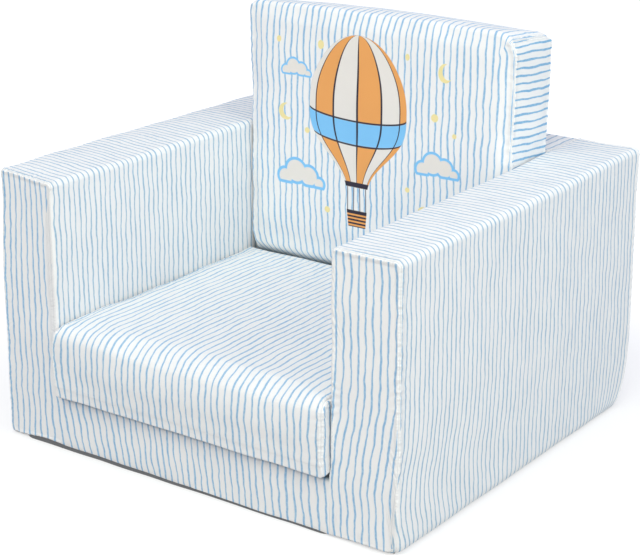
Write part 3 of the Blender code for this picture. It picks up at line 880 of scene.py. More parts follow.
def cover_mesh(name, made, materials, wrap_shift=(0.0, 0.0), wrap_warp=None, cap_warp=None, settled=None,
               other=None):
    """A closed mesh from a cover's grid, with the wrap's and the panels' maps on their own faces.

    materials are those of the wrap, the first end panel and the last, and of the wrap's faces
    whose middles other picks.
    """
    points = made["points"]
    kept, place, faces = closed_grid(*points.shape[:2])
    panel = made["past"].reshape(-1)[faces].mean(axis=1) > 0
    last = np.broadcast_to(made["last"], points.shape[:2]).reshape(-1)[faces[:, 0]]
    cap = made["cap"].reshape(-1, 2)
    wrap = made["wrap"].reshape(-1, 2) + wrap_shift
    if cap_warp is not None:
        cap = cap_warp(cap)
    if wrap_warp is not None:
        wrap = wrap_warp(wrap, points.reshape(-1, 3))
    uv = np.where(panel[:, None, None], cap[faces], wrap[faces])
    if settled is not None:
        points = settled(points)
    corners, whole = face_corners(faces, points.shape[1])
    points = points.reshape(-1, 3)
    mesh = bpy.data.meshes.new(name)
    mesh.from_pydata(points[kept], [], [place[c] for c in corners])
    mesh.uv_layers.new(name="cloth").data.foreach_set("uv", uv[whole].reshape(-1).astype(np.float32))
    for key in sorted(made.keys() & {"seam", "border", "run", "fold"}):
        value = mesh.attributes.new(key, "FLOAT", "POINT")
        value.data.foreach_set("value", made[key].reshape(-1)[kept].astype(np.float32))
    for material in materials:
        mesh.materials.append(material)
    kind = np.where(panel, np.where(last, 2, 1), 0)
    if other is not None:
        kind = np.where(other(points[faces].mean(axis=1)) & (kind == 0), 3, kind)
    mesh.polygons.foreach_set("material_index", kind)
    return finish_mesh(name, mesh)


def finish_mesh(name, mesh):
    """Turns the faces outwards, smooths and links the mesh."""
    shape = bmesh.new()
    shape.from_mesh(mesh)
    bmesh.ops.recalc_face_normals(shape, faces=shape.faces)
    open_edges = sum(1 for edge in shape.edges if len(edge.link_faces) != 2)
    shape.to_mesh(mesh)
    shape.free()
    mesh.shade_smooth()
    print(name, len(mesh.polygons), "faces,", open_edges, "open edges")
    return new_object(name, mesh)


# %% [markdown]
# ## How the chair settles
#
# Foam corners give: the rear corners are rubbed round at the floor, the outer edges tuck in a
# little, and the hem rides up at the front left, where the dark underside shows under it. One
# movement of space does this to all the chair's pieces alike, so that they still meet.

# %% Settle the chair on the floor
REAR_TUCK = 0.041
REAR_TUCK_HEIGHT = 0.070
SIDE_TUCK = 0.006
SIDE_TUCK_HEIGHT = 0.012
FRONT_TUCK = 0.004
FRONT_TUCK_HEIGHT = 0.010
TOE_REACH = 0.014
TOE_HEIGHT = 0.040
LEFT_TOE = 0.15
REAR_LIFT = 0.0032
HEM_LEFT = 0.0034
HEM_RIGHT = 0.0016
LEAST_HEIGHT = 0.0002


def round_in(z, height):
    """How far an elliptical corner stands back at a height, as a share of its reach."""
    share = np.clip(1 - z / height, 0, 1)
    return 1 - np.sqrt(1 - share**2)


def hem_height(x):
    """The hem's height over the floor along the front."""
    level = between(HEM_LEFT, HEM_RIGHT, ease(x, -0.15, 0.10))
    return level * ease(x, -0.250, -0.200) * ease(x, 0.180, 0.160)


def far_out(x):
    """0 on the chair's middle half and 1 at its ends."""
    return ease(np.abs(x), 0.12, 0.24)


def rear_tuck(x, y, z):
    """How far the rear stands in over the floor, most at its corners."""
    share = between(0.2, 1.0, far_out(x)) * ease(y, rear_y - 0.10, rear_y)
    return REAR_TUCK * share * round_in(z, REAR_TUCK_HEIGHT)


def settle(points):
    """Points of the chair, with the floor corners tucked in and the front hem lifted."""
    x, y, z = apart(points)
    toe = ease(z, TOE_HEIGHT, 0) * np.where(x > 0, 1.0, LEFT_TOE)
    in_x, in_y = rounding(np.abs(x) - (outer_x - TOE_REACH), front_y + TOE_REACH - y, toe)
    x = x - np.sign(x) * in_x
    y = y + in_y
    side = ease(np.abs(x), outer_x - 0.03, outer_x) * np.where(x > 0, 1.0, 0.6)
    front = ease(y, front_y + 0.03, front_y)
    out_x = x - np.sign(x) * SIDE_TUCK * round_in(z, SIDE_TUCK_HEIGHT) * side
    in_front = FRONT_TUCK * np.where(x > 0, far_out(x), 0.3) * round_in(z, FRONT_TUCK_HEIGHT) * front
    out_y = y - rear_tuck(x, y, z) + in_front
    lift = REAR_LIFT * ease(x, -0.02, 0.08) * ease(y, 0.06, 0.19)
    out_z = z + hem_height(x) * front * ease(z, 0.03, 0) + lift * ease(z, arm_top - 0.05, arm_top)
    return together(out_x, out_y, np.maximum(out_z, LEAST_HEIGHT))


# %% [markdown]
# ## The arms
#
# An arm's cloth goes up its outer side, over the top and down its inner side in one length, so
# the stripes of the sides run on over the top. The front panel is part of one U of cloth with
# the panel under the seat, so both take their map from the room's own width and height.

# %% Map the stripes of the front and the sides
LEAN_MOST = 0.15
LEAN_LEAST = 0.05
LEAN_TOP = 0.075
ARM_PULL = 0.0138
LEFT_PHASE = 0.0072
RIGHT_PHASE = -0.0063
LEFT_TIGHT = 0.02
BASE_WIDER = STRIPE_PITCH / inner_x
SIDE_PULL = 0.014
SIDE_PULL_HEIGHT = 0.055
SIDE_PULL_HALF = 0.042
CLOSER = 0.08
CLOSER_REACH = 0.19


def front_warp(points):
    """The front cloth's map: its stripes lean under the crease and bend in low on the right arm."""
    x, z = points.T
    phase = LEFT_PHASE * ease(x, -0.07, -0.17) + RIGHT_PHASE * ease(x, 0.08, 0.18)
    phase = phase + LEFT_TIGHT * np.minimum(x + inner_x, 0.0)
    lean = LEAN_MOST * ease(x, -0.21, -0.16) - (LEAN_MOST - LEAN_LEAST) * ease(x, -0.15, 0.18)
    lean = lean * np.clip(LEAN_TOP - z, 0, None)
    painted_pucker_shade = ARM_PULL * ease(z, 0.180, 0.045) * ease(x, -0.16, 0.14)
    wider = BASE_WIDER * np.clip(x, -inner_x, inner_x)
    return together(x - wider - lean + painted_pucker_shade + phase, z)


def side_warp(wrap, points):
    """An arm's map: closer stripes to the front, which swing forward low down at the right side's front."""
    x, y, z = apart(points)
    swing = SIDE_PULL * bell(z - SIDE_PULL_HEIGHT, SIDE_PULL_HALF) * ease(y, 0.06, -0.24)
    closer = CLOSER * np.clip(front_y + CLOSER_REACH - y, 0, CLOSER_REACH)
    return wrap + together(swing * (x > outer_x - 0.03) - closer, 0 * swing)


# %% Make the arms
SEAM_ROLL = 0.0036
ARM_EDGE = 0.0068
LEFT_OUTER_EDGE = 0.0052
FOOT_EDGE = 0.0040
TOP_ROLL = 0.0024
FLUSH_ROLL = 0.0003
HEM_ROLL = 0.0015
CREASE = 0.0655
FLOOR_GAP = 0.0008
INNER_PHASE = 0.0045
OUTER_PHASE = -0.0033
OUTER_DRIFT = 0.0066
INNER_DRIFT = 0.0056
LEFT_BARE = 0.0026
LEAN_IN = 0.0052
FOOT_FLARE = 0.0024
CORNER_RISE = 0.0016
OUTER_RISE = 0.0012
FRONT_RISE = 0.0034


def arm_rolls(inside):
    """The front seam's roll round an arm: full on the sides, tight on top, none beside the base."""
    def roll(flat):
        x, z = flat.T
        off = np.abs(x - inside)
        full = between(SEAM_ROLL, TOP_ROLL, ease(z, arm_top - 0.010, arm_top - 0.002))
        hidden = between(FLUSH_ROLL, HEM_ROLL, ease(z, FLOOR_GAP + HEM_ROLL, FLOOR_GAP))
        return between(full, hidden, ease(z, CREASE + 0.010, CREASE) * ease(off, 0.032, 0.002))
    return roll


def outer_drift(flat):
    """How far the right front seam wanders onto the front near the floor."""
    x, z = flat.T
    return OUTER_DRIFT * ease(z, 0.115, 0.010) * ease(x, outer_x - 0.012, outer_x - 0.002)


def inner_drift(flat):
    """How far the left front seam stands in from the arm's inner edge, above the seat."""
    x, z = flat.T
    tall = ease(z, CREASE + 0.030, CREASE + 0.060) * ease(z, arm_top - 0.004, arm_top - 0.016)
    return INNER_DRIFT * tall * ease(x, -inner_x - 0.010, -inner_x - 0.002)


def lean_in(points):
    """The left arm's top front corner stands a little in and up, as foam that a child leans on."""
    x, y, z = apart(points)
    front = ease(y, front_y + 0.14, front_y)
    long_front = ease(y, front_y + 0.46, front_y)
    outer = ease(-x, inner_x, outer_x)
    out_x = x + (LEAN_IN * ease(z, 0.19, 0.29) - FOOT_FLARE * ease(z, 0.17, 0)) * front * outer
    rise = CORNER_RISE * front + (OUTER_RISE + FRONT_RISE * long_front) * outer
    return together(out_x, y, z + rise * ease(z, 0.26, 0.295))


def make_arm(side, seed):
    """One arm, on the left where side is -1."""
    on_left = side < 0
    left, right = sorted((side * outer_x, side * inner_x))
    inner_foot = HEM_ROLL + 0.0001
    feet = (FOOT_EDGE, inner_foot) if on_left else (inner_foot, FOOT_EDGE)
    radii = [feet[0], LEFT_OUTER_EDGE if on_left else ARM_EDGE, ARM_EDGE, feet[1]]
    crowns = ((SIDE_CROWN, 0.0) if on_left else (0.0, SIDE_CROWN), (0.0, FRONT_CROWN), (0.0, TOP_CROWN))
    made = cover(1, (left, front_y, FLOOR_GAP), (right, rear_y, arm_top),
                 rectangle(left, FLOOR_GAP, right, arm_top), radii, (arm_rolls(side * inner_x), SEAM_ROLL),
                 crowns, seed, drift=inner_drift if on_left else outer_drift,
                 shape=lean_in if on_left else None)
    front_map = front_warp(made["cap"].reshape(-1, 2)).reshape(made["cap"].shape)
    made["cap"] = np.where(made["last"][..., None], made["cap"], front_map)
    if on_left:
        x, _, z = apart(made["points"])
        bare = ease(z, CREASE + 0.060, CREASE + 0.090) * ease(x, -inner_x - 0.016, -inner_x - 0.010)
        made["border"] = made["border"] - LEFT_BARE * bare * ((made["past"] > 0) & ~made["last"])
    return cover_mesh("arm_left" if on_left else "arm_right", made, (wrap_cloth, striped, striped),
                      wrap_shift=(INNER_PHASE if on_left else OUTER_PHASE, 0.0), wrap_warp=side_warp,
                      settled=settle)


arm_left = make_arm(-1, 11)
arm_right = make_arm(1, 23)

# %% [markdown]
# ## The slab behind the back cushion
#
# A block of foam stands between the arms, and the back cushion leans on it. A zip runs across its
# rear face, and round the zip the cloth goes in smoothly to the tape's own depth.

# %% Make the slab
SLAB_EDGE = 0.006
SLAB_LOW_EDGE = 0.0018
SLAB_ROLL = 0.0016
SLAB_GAP = 0.0002
REAR_MOUTH = 0.0078
MOUTH_GAP = 0.0002
MOUTH_ENDS = (0.172, 0.166)


def zip_mouth(points, tape, half, rear):
    """How far the cloth at the rear goes in round a zip's tape.

    The mouth's section is e to the power of minus the fourth power of the height off the zip's
    middle, in the mouth's half heights.
    """
    x, y, z = apart(points)
    middle = (low(tape)[2] + high(tape)[2]) / 2
    depth = np.minimum(low(tape)[1] + MOUTH_GAP - y, 0.0)
    mouth = np.exp(-(((z - middle) / half) ** 4)) * ease(np.abs(x), *MOUTH_ENDS)
    return depth * mouth * ease(y, rear - 0.010, rear - 0.002)


def hug_arms(points):
    """The slab's ends follow the arms' round top edges, so that no trench is left between them."""
    x, y, z = apart(points)
    over = np.clip(z - (arm_top - ARM_EDGE), 0, ARM_EDGE)
    reach = ARM_EDGE - np.sqrt(ARM_EDGE**2 - over**2)
    out_x = x + np.sign(x) * reach * ease(np.abs(x), 0.13, 0.17)
    return together(out_x, y + zip_mouth(points, "rear_zip_tape", REAR_MOUTH, rear_y), z)


def make_rear():
    """The slab between the arms, with stripes up its back and over its top."""
    crowns = ((0.0, 0.0), (0.0, REAR_CROWN), (0.0, TOP_CROWN))
    made = block(inner_x - SLAB_GAP, (slab_y, FLOOR_GAP), (rear_y, arm_top),
                 [SLAB_LOW_EDGE, SLAB_EDGE, SLAB_EDGE, FOOT_EDGE], SLAB_ROLL, crowns, 31, shape=hug_arms)
    return cover_mesh("rear_slab", made, (wrap_cloth, striped, striped), settled=settle)


rear_slab = make_rear()

# %% [markdown]
# ## The base and the riser
#
# The base lies under the seat, and the riser stands on its rear and carries the back cushion. Both
# wear plain lining, which shows when the seat is flipped out. Where a piece tucks under another,
# a number kept on its points paints shade into its cloth: the shade of the deep crease.

# %% Make the base and the riser
REBATE_LOW = 0.0622
REBATE_BACK = front_y + 0.0110
BACK_LOW = 0.1395
RISER_TOP = BACK_LOW - 0.0006
BLOCK_REAR = slab_y - 0.001
FRONT_DEPTH = 0.004
BASE_GAP = 0.0001
BASE_EDGES = [HEM_ROLL, 0.0012, 0.0030, 0.0040, 0.0005, 0.0005]
RISER_GAP = 0.0004
RISER_ROLL = 0.0018
RISER_EDGES = [0.002, 0.008, 0.004, 0.002]


def base_map(wrap, points):
    """The front cloth's map on the base's front, and the sweep's own on its top."""
    x, y, z = apart(points)
    return np.where((y < front_y + FRONT_DEPTH)[:, None], front_warp(together(x, z)), wrap)


def make_base():
    """The block under the seat: striped in front, lining on top.

    Its top front edge steps back under the seat's lip, and so the fold between them is deep.
    """
    side = inner_x - BASE_GAP
    corners = [(front_y, FLOOR_GAP), (front_y, REBATE_LOW), (REBATE_BACK, REBATE_LOW),
               (REBATE_BACK, base_top), (BLOCK_REAR, base_top), (BLOCK_REAR, FLOOR_GAP)]
    made = cover(0, (-side, front_y, FLOOR_GAP), (side, BLOCK_REAR, base_top), corners, BASE_EDGES,
                 (FLUSH_ROLL, FLUSH_ROLL), NO_CROWN, 41, pucker=0.0)
    _, y, z = apart(made["points"])
    # Painted shade: the base's front is darkened just under the seat's lip, strongest in a thin line at the
    # rebate and fading softly below it, where the lip's shadow falls.
    below = np.clip(REBATE_LOW - z, 0, None)
    near = ease(y, REBATE_BACK + 0.012, REBATE_BACK)
    made["fold"] = near * (0.8 * bell(below, 0.0017) + 0.1 * bell(below, 0.006))
    return cover_mesh("base_block", made, (striped, lining, lining, lining), wrap_warp=base_map,
                      settled=settle, other=lambda at: at[:, 1] > front_y + FRONT_DEPTH)


def make_riser():
    """The block at the back of the base that carries the back cushion."""
    made = block(inner_x - RISER_GAP, (back_front, base_top), (BLOCK_REAR, RISER_TOP), RISER_EDGES,
                 RISER_ROLL, NO_CROWN, 43, pucker=0.0)
    _, y, z = apart(made["points"])
    # Painted shade: the riser's top front is darkened where it sits deep in the groove under the back
    # cushion's foot.
    made["fold"] = bell(RISER_TOP - z, 0.010) * (y < back_front + 0.03)
    return cover_mesh("riser_block", made, (lining, lining, lining))


base_block = make_base()
riser_block = make_riser()

# %% [markdown]
# ## The seat cushion
#
# The seat's front stands a few millimetres out over the panel below it, and its cloth goes on
# down past the fold it turns on. The front is nearly flat, with a crisp edge on top. Low down it
# draws back a little to the crease, which is where the thin shadow lies.

# %% Make the seat cushion
SEAT_REAR = seat_rear + 0.0045
CUSHION_ROLL = 0.0048
LIP_ROLL = 0.0012
LIP_LOW = 0.0662
LIP_CORNER = 0.0040
LIP_INNER = front_y + 0.0012
LIP_BULGE = 0.80
SEAT_FRONT_EDGE = 0.0145
SEAT_REAR_EDGE = 0.006
SEAT_EDGES = [0.0070, 0.0014, 0.0019, SEAT_FRONT_EDGE, SEAT_REAR_EDGE, 0.0052]
FRONT_BULGE = 0.0068
SEAT_CORNER = 0.0090
SEAT_BELLY = 0.0046
SEAT_MOUTH = 0.0090


def bulge_front(points):
    """The seat's front leans out from the crease up, and its ends stand out a little beside it."""
    x, y, z = apart(points)
    rise = between(LIP_BULGE, 1.0, ease(z, LIP_LOW, LIP_LOW + 0.018))
    out_y = y - FRONT_BULGE * ease(y, -0.150, -0.235) * rise
    proud = ease(out_y, front_y - 0.001, front_y - 0.007)
    belly = ease(z, LIP_LOW + 0.004, LIP_LOW + 0.034) * ease(z, seat_top, seat_top - 0.030)
    top_x, top_z = rounding(np.abs(x) - (seat_x - SEAT_CORNER), z - (seat_top - SEAT_CORNER),
                            ease(y, -0.205, -0.235))
    reach = LIP_CORNER * np.where(x > 0, 1.0, 0.5)
    lip_x, lip_z = rounding(np.abs(x) - (seat_x - reach), LIP_LOW + reach - z, ease(y, -0.236, -0.242))
    out_x = x - SEAT_BELLY * ease(-x, seat_x - 0.030, seat_x) * proud * belly - np.sign(x) * (top_x + lip_x)
    out_y = out_y + zip_mouth(points, "seat_zip_tape", SEAT_MOUTH, SEAT_REAR)
    return together(out_x, out_y, z - top_z + lip_z)


def seat_rolls(flat):
    """The roll at the seat's ends: full round the cushion, and tight round the lip."""
    y, z = flat.T
    return between(CUSHION_ROLL, LIP_ROLL, ease(z, seat_low + 0.014, seat_low) * ease(y, -0.215, -0.230))


def make_seat():
    """The seat cushion, with the lip that droops over the base's front edge."""
    corners = [(LIP_INNER, seat_low), (LIP_INNER, LIP_LOW), (seat_front, LIP_LOW),
               (seat_front, seat_top), (SEAT_REAR, seat_top), (SEAT_REAR, seat_low)]
    crowns = ((GUSSET_DRAW, GUSSET_DRAW), (0.0015, 0.0), (0.0, SEAT_CROWN))
    made = cover(0, (-seat_x, seat_front, seat_low), (seat_x, SEAT_REAR, seat_top), corners,
                 SEAT_EDGES, (seat_rolls, seat_rolls), crowns, 53, shape=bulge_front)
    return cover_mesh("seat_cushion", made, (seat_cloth, striped, striped, lining),
                      other=lambda at: (at[:, 2] < seat_low + 0.0016) & (at[:, 1] > front_y + 0.006))


seat_cushion = make_seat()

# %% [markdown]
# ## The back cushion
#
# The back cushion is a plain padded block whose top has gone soft: its corners are round, its top
# falls to the rear, and its foot is drawn in where it meets the seat. The gussets' stripes follow
# the raised top, and the front's bend where the foot is drawn in, so both maps are warped.

# %% Make the back cushion
BACK_FOOT_EDGE = 0.0135
BACK_TOP_EDGE = 0.0052
BACK_TOP_REAR_EDGE = 0.014
BACK_REAR_EDGE = 0.006
FOOT_LINE = 0.1462
FOOT_SHADE = 0.46
FOOT_SHADE_HEIGHT = 0.0050
FOOT_BEND = 0.0085
FOOT_BEND_HEIGHT = 0.010
FOOT_TAPER = 0.0052
FOOT_TAPER_HEIGHT = 0.022
BACK_ROLL = 0.0042
BACK_CORNER = 0.012
BACK_RIGHT_CORNER = 0.026
BACK_REAR_CORNER = 0.009
BACK_DROP = 0.0012
BACK_SLOPE = 0.0112
BACK_RAISE = 0.0100
BACK_WIDER = 0.0028
BACK_PROUD = 0.0004
GUSSET_SLANT = 0.075
BACK_CLOSER = 0.0045
BACK_PHASE = -0.0006


def to_rear(y):
    """0 at the back cushion's front and 1 at its rear."""
    return np.clip((y - back_front) / (back_rear - back_front), 0, 1)


def round_back(points):
    """The back cushion's top corners go round, and its top falls a little towards them."""
    x, y, z = apart(points)
    side, rear = np.abs(x), to_rear(y)
    reach = np.where(x > 0, between(BACK_RIGHT_CORNER, BACK_REAR_CORNER, rear), BACK_CORNER)
    in_x, in_z = rounding(side - (back_x - reach), z - (back_top - reach))
    wider = BACK_WIDER * ease(x, 0.10, 0.17) * ease(z, arm_top + 0.004, arm_top + 0.034)
    taper = FOOT_TAPER * ease(z, FOOT_LINE + FOOT_TAPER_HEIGHT, FOOT_LINE)
    taper = taper * ease(y, back_front + 0.03, back_front) * ease(side, back_x - 0.05, back_x)
    drop = BACK_DROP * ease(side, 0.08, 0.18) + BACK_SLOPE * rear - BACK_RAISE
    return together(x - np.sign(x) * (in_x + taper) + wider,
                    y + BACK_PROUD * rear * ease(z, arm_top + 0.006, arm_top + 0.036),
                    z - in_z - drop * ease(z, back_top - 0.06, back_top))


def gusset_warp(at):
    """The gusset's map: its height in the room, with stripes that rise to the front."""
    z, y = at.T
    rise = (BACK_RAISE - BACK_SLOPE * to_rear(y)) * ease(z, back_top - 0.06, back_top)
    return together(z + rise + GUSSET_SLANT * (y - back_front), y)


def foot_bend(wrap, points):
    """The back's map: closer stripes to the right, which bend to the right where the foot is drawn in."""
    x, y, z = apart(points)
    share = np.clip((FOOT_LINE + FOOT_BEND_HEIGHT - z) / FOOT_BEND_HEIGHT, 0, 1.2)
    bend = FOOT_BEND * share**1.5 * (y < back_front + 0.02)
    closer = BACK_CLOSER * (np.minimum(np.abs(x), back_x) / back_x) ** 2 + BACK_PHASE
    return wrap + together(closer - bend, 0 * bend)


def make_back():
    """The back cushion, with stripes up its front and level ones on its side gussets."""
    crowns = ((GUSSET_DRAW, GUSSET_DRAW), (BACK_FRONT_CROWN, 0.0), (0.0, BACK_TOP_CROWN))
    radii = [BACK_FOOT_EDGE, BACK_TOP_EDGE, BACK_TOP_REAR_EDGE, BACK_REAR_EDGE]
    made = block(back_x, (back_front, BACK_LOW), (back_rear, back_top), radii, BACK_ROLL, crowns, 61,
                 cap_turned=True, shape=round_back)
    # Painted shade: the back cushion's foot is darkened, most at the foot line and fading over a few
    # millimetres upward, where the crease's shade falls.
    above = np.clip(made["points"][..., 2] - FOOT_LINE, 0, None)
    made["fold"] = FOOT_SHADE * bell(above, FOOT_SHADE_HEIGHT)
    rise = BACK_LOW + BACK_FOOT_EDGE * (1 - math.pi / 2)
    return cover_mesh("back_cushion", made, (printed, gusset_cloth, gusset_cloth), wrap_shift=(0.0, rise),
                      wrap_warp=foot_bend, cap_warp=gusset_warp)


back_cushion = make_back()

# %% [markdown]
# ## The underside
#
# The whole chair stands on one dark, non-slip sheet. It stays a little inside the cover's outline,
# tucks in at the rear as the cover does, and its front edge turns up to the hem.

# %% Make the underside
SHEET_TOP = 0.0014
SHEET_INSET = 0.009
SHEET_CORNER = 0.006
SHEET_ROLL = 0.0004
SHEET_FRONT = front_y + 0.0012
RIM_FROM = 0.0006
RIM_LIFT = 0.0012
RIM_ENDS = 0.007


def lift_rim(points):
    """The sheet's front rim turned up to the hem."""
    x, y, z = apart(points)
    front = ease(y, front_y + 0.008, front_y + 0.002)
    ends = ease(x, 0.165, 0.185) + ease(x, -0.226, -0.248)
    out_z = z + np.where(z > RIM_FROM, (hem_height(x) + RIM_LIFT) * front, 0)
    return together(x, y + RIM_ENDS * ends * front - rear_tuck(x, y, 0.0), out_z)


def make_underside():
    """The dark sheet under the chair, with its front edge turned up to the hem."""
    side = outer_x - SHEET_INSET
    made = cover(2, (-outer_x, front_y, 0.0), (outer_x, rear_y, SHEET_TOP),
                 rectangle(-side, SHEET_FRONT, side, rear_y - SHEET_INSET), [SHEET_CORNER] * 4,
                 (SHEET_ROLL, SHEET_ROLL), NO_CROWN, 71, pucker=0.0, shape=lift_rim)
    made["points"][..., 2] = np.maximum(made["points"][..., 2], 0.0)
    return cover_mesh("underside_sheet", made, (underside, underside, underside))


underside_sheet = make_underside()

# %% [markdown]
# ## The zips
#
# Each zip lies in a shallow mouth of the cover: a woven tape, a moulded tooth chain along its
# middle, and an enamelled slider. Chain and slider are the frame's own solids, which only need a
# finish. The tape is cloth, so it is made here, and each slider gets the flat tab that is pulled.

# %% Finish the hard parts
def hard_finish(name, colour, roughness, grain):
    """A smooth hard surface with slight cloudiness and fine handling marks, on the object's own place."""
    w = Wiring(name)
    place = w.node("ShaderNodeTexCoord").outputs["Object"]
    cloud = w.ease(w.noise(place, 220.0, 2.0), 0.35, 0.7)
    marks = w.noise(place, grain, 3.0)
    w.fill(w.shader, Base_Color=w.mix(cloud, tint(colour), tint(colour, 0.90)),
           Roughness=w.ease(marks, 0.3, 0.7, roughness - 0.06, roughness + 0.10),
           Normal=w.node("ShaderNodeBump", Height=marks, Strength=0.2, Distance=0.0001))
    return w.owner


enamel = hard_finish("slider_enamel", (0.80, 0.82, 0.84), 0.28, 2500.0)
teeth = hard_finish("tooth_plastic", (0.78, 0.81, 0.84), 0.45, 4000.0)
for node, finish in (("rear_zip_chain", teeth), ("seat_zip_chain", teeth), ("rear_zip_slider", enamel),
                     ("seat_zip_slider", enamel)):
    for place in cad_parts[node].material_slots:
        place.material = finish
print("finishes:", enamel.name, teeth.name)

# %% Make the tapes and the tabs
TAPE_EDGE = 0.0003
TAB_LONG = 0.0150
TAB_WIDE = 0.0042
TAB_THICK = 0.0010
TAB_OFF = 0.0065
TAB_PROUD = 0.0007
TAB_STEPS = 48
TAB_RINGS = np.array((0, .3, .5, .58, .66, .74, .85, .93, .98, 1, 1, .98, .93, .85, .6, .3, 0))
TAB_HEIGHTS = np.array((.45, .45, .45, .5, .8, .95, 1, .95, .7, .35, -.35, -.7, -.95, -1, -1, -1, -1))


def make_tape(name, node):
    """A zip's woven tape: a thin strip in its node's place."""
    made = cover(0, low(node), high(node), rectangle(*low(node)[1:], *high(node)[1:]), [TAPE_EDGE] * 4,
                 (TAPE_EDGE, TAPE_EDGE), NO_CROWN, 81, pucker=0.0, wrinkle=0.0)
    return cover_mesh(name, made, (tape_cloth, tape_cloth, tape_cloth))


def make_tab(name, node, hanging):
    """A slider's flat tab: a superellipse in outline, with round edges and a shallow dish in its face.

    The outline is x = cos t to the power 1/2 and z = sin t to the power 1/2, each with its sign.
    Rings shrink from the rim to the middle of both faces, and the dish sinks the inner rings.
    """
    middle = (low(node) + high(node)) / 2
    middle[1] = high(node)[1] + TAB_PROUD
    middle[2 if hanging else 0] -= TAB_OFF
    half = (TAB_WIDE / 2, TAB_LONG / 2) if hanging else (TAB_LONG / 2, TAB_WIDE / 2)
    turn = np.linspace(0, 2 * math.pi, TAB_STEPS + 1)
    circle = together(np.cos(turn), np.sin(turn))
    grid = TAB_RINGS[:, None, None] * (np.sign(circle) * np.abs(circle) ** 0.5) * half
    depth = np.broadcast_to(TAB_HEIGHTS[:, None] * TAB_THICK / 2, grid.shape[:2])
    points = middle + together(grid[..., 0], depth, grid[..., 1])
    kept, place, faces = closed_grid(*points.shape[:2])
    corners, _ = face_corners(faces, points.shape[1])
    mesh = bpy.data.meshes.new(name)
    mesh.from_pydata(points.reshape(-1, 3)[kept], [], [place[c] for c in corners])
    mesh.materials.append(enamel)
    return finish_mesh(name, mesh)


rear_tape = make_tape("rear_tape", "rear_zip_tape")
seat_tape = make_tape("seat_tape", "seat_zip_tape")
rear_tab = make_tab("rear_tab", "rear_zip_slider", True)
seat_tab = make_tab("seat_tab", "seat_zip_slider", False)

# %% [markdown]
# ## The cushions fill out
#
# Foam presses a cushion's cloth out from inside. A cloth simulation works that out on a coarse
# copy, because the copy can be remeshed evenly while the striped mesh keeps its map. The copy is
# blown up a little, its movement is capped, and the striped mesh is bound to it and follows. A
# cushion only moves where nothing holds it: not against the arms, the base or its neighbour.

# %% Press the cushions out
VOXEL = 0.0055
PRESSURE = 0.6
QUALITY = 4
FRAMES = 20
MOST_MOVE = 0.0040
SEAT_FRONT_SHARE = 0.4
BACK_TOP_SHARE = 0.25


def places(mesh):
    """The points of a mesh as rows."""
    flat = np.empty(len(mesh.vertices) * 3, np.float32)
    mesh.vertices.foreach_get("co", flat)
    return flat.reshape(-1, 3)


def evaluated(obj, **kept):
    """A new mesh of the object with its modifiers applied."""
    graph = bpy.context.evaluated_depsgraph_get()
    return bpy.data.meshes.new_from_object(obj.evaluated_get(graph), depsgraph=graph, **kept)


def fill_out(piece, free):
    """Presses a cushion out; free gives each point's share of the movement along x, y and z."""
    copy = new_object(piece.name + "_copy", piece.data.copy())
    remesh = copy.modifiers.new("even", "REMESH")
    remesh.mode = "VOXEL"
    remesh.voxel_size = VOXEL
    even = evaluated(copy)
    copy.modifiers.clear()
    copy.data = even
    rest = places(even)
    cloth = copy.modifiers.new("cloth", "CLOTH")
    cloth.settings.use_pressure = True
    cloth.settings.uniform_pressure_force = PRESSURE
    cloth.settings.effector_weights.gravity = 0.0
    cloth.settings.quality = QUALITY
    cloth.point_cache.frame_start = 1
    cloth.point_cache.frame_end = FRAMES
    for number in range(1, FRAMES + 1):
        bpy.context.scene.frame_set(number)
    move = places(evaluated(copy)) - rest
    bpy.context.scene.frame_set(1)
    copy.modifiers.clear()
    length = np.linalg.norm(move, axis=1)[:, None]
    move *= np.minimum(length, MOST_MOVE) / np.maximum(length, 1e-9)

    bind = piece.modifiers.new("follow", "SURFACE_DEFORM")
    bind.target = copy
    bpy.context.view_layer.update()
    with bpy.context.temp_override(object=piece, active_object=piece, selected_objects=[piece]):
        bpy.ops.object.surfacedeform_bind(modifier=bind.name)
    bound = bind.is_bound
    moved = rest + move * free(rest)
    even.vertices.foreach_set("co", moved.astype(np.float32).reshape(-1))
    even.update()
    bpy.context.view_layer.update()
    result = evaluated(piece, preserve_all_data_layers=True)
    piece.modifiers.clear()
    piece.data = result
    bpy.data.objects.remove(copy, do_unlink=True)
    print(piece.name, "bound:", bound, "points:", len(rest), "greatest move:", round(float(length.max()), 4))


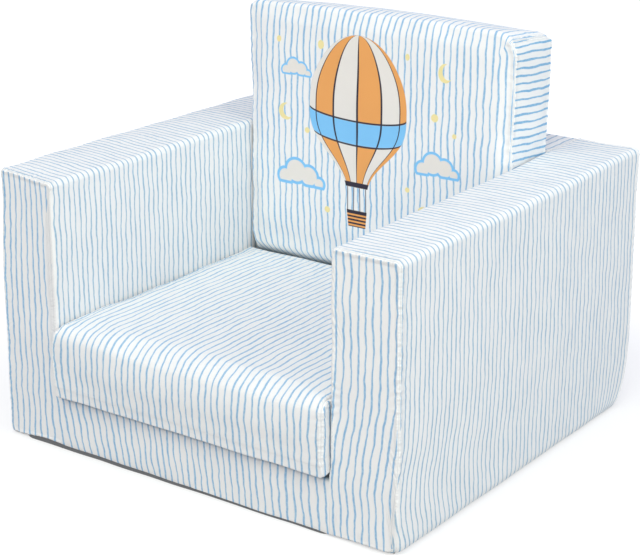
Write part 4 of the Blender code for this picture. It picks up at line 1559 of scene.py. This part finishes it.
def seat_free(points):
    """The seat's share: its top moves up and its front a little out, and its ends and bottom stay."""
    x, y, z = apart(points)
    top = ease(z, seat_top - 0.030, seat_top - 0.010) * ease(y, SEAT_REAR - 0.004, SEAT_REAR - 0.024)
    front = SEAT_FRONT_SHARE * ease(y, -0.20, -0.23) * ease(z, seat_low + 0.012, seat_low + 0.032)
    return together(0 * x, front, top)


def back_free(points):
    """The back's share: its front everywhere above the seat, its other faces above the arms."""
    _, y, z = apart(points)
    above = ease(z, arm_top + 0.008, arm_top + 0.028)
    front = ease(y, back_front + 0.03, back_front + 0.01) * ease(z, seat_top + 0.015, seat_top + 0.045)
    return together(above, np.maximum(front, above), BACK_TOP_SHARE * above)


fill_out(seat_cushion, seat_free)
fill_out(back_cushion, back_free)

# %% Put the pieces on their bodies
CLOTHED = (
    (arm_left, "chair", "striped_cover",
     ("arm_foam_left", "arm_wrap_left", "arm_front_left", "arm_rear_left")),
    (arm_right, "chair", "striped_cover",
     ("arm_foam_right", "arm_wrap_right", "arm_front_right", "arm_rear_right")),
    (rear_slab, "chair", "striped_cover", ("rear_foam", "rear_wrap", "rear_skirt")),
    (base_block, "chair", "front_cover", ("base_foam", "base_front_panel", "hinge_tape")),
    (riser_block, "chair", "lining", ("riser_foam", "base_lining")),
    (back_cushion, "chair", "printed_cover", ("back_foam", "back_wrap", "back_side_left", "back_side_right")),
    (seat_cushion, "seat", "striped_cover",
     ("seat_foam", "seat_wrap", "seat_bottom", "seat_side_left", "seat_side_right")),
)
for piece, body, slot, nodes in CLOTHED:
    if piece is seat_cushion:
        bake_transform(piece)
    else:
        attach(piece, body)
    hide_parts(*nodes)
for piece, body, slot, node in ((rear_tape, "chair", "woven_tape", "rear_zip_tape"),
                                (seat_tape, "seat", "woven_tape", "seat_zip_tape")):
    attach(piece, body)
    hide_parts(node)
for piece, body in ((rear_tab, "rear_slider"), (seat_tab, "seat_slider")):
    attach(piece, body)
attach(underside_sheet, "chair")
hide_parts("bottom_sheet")
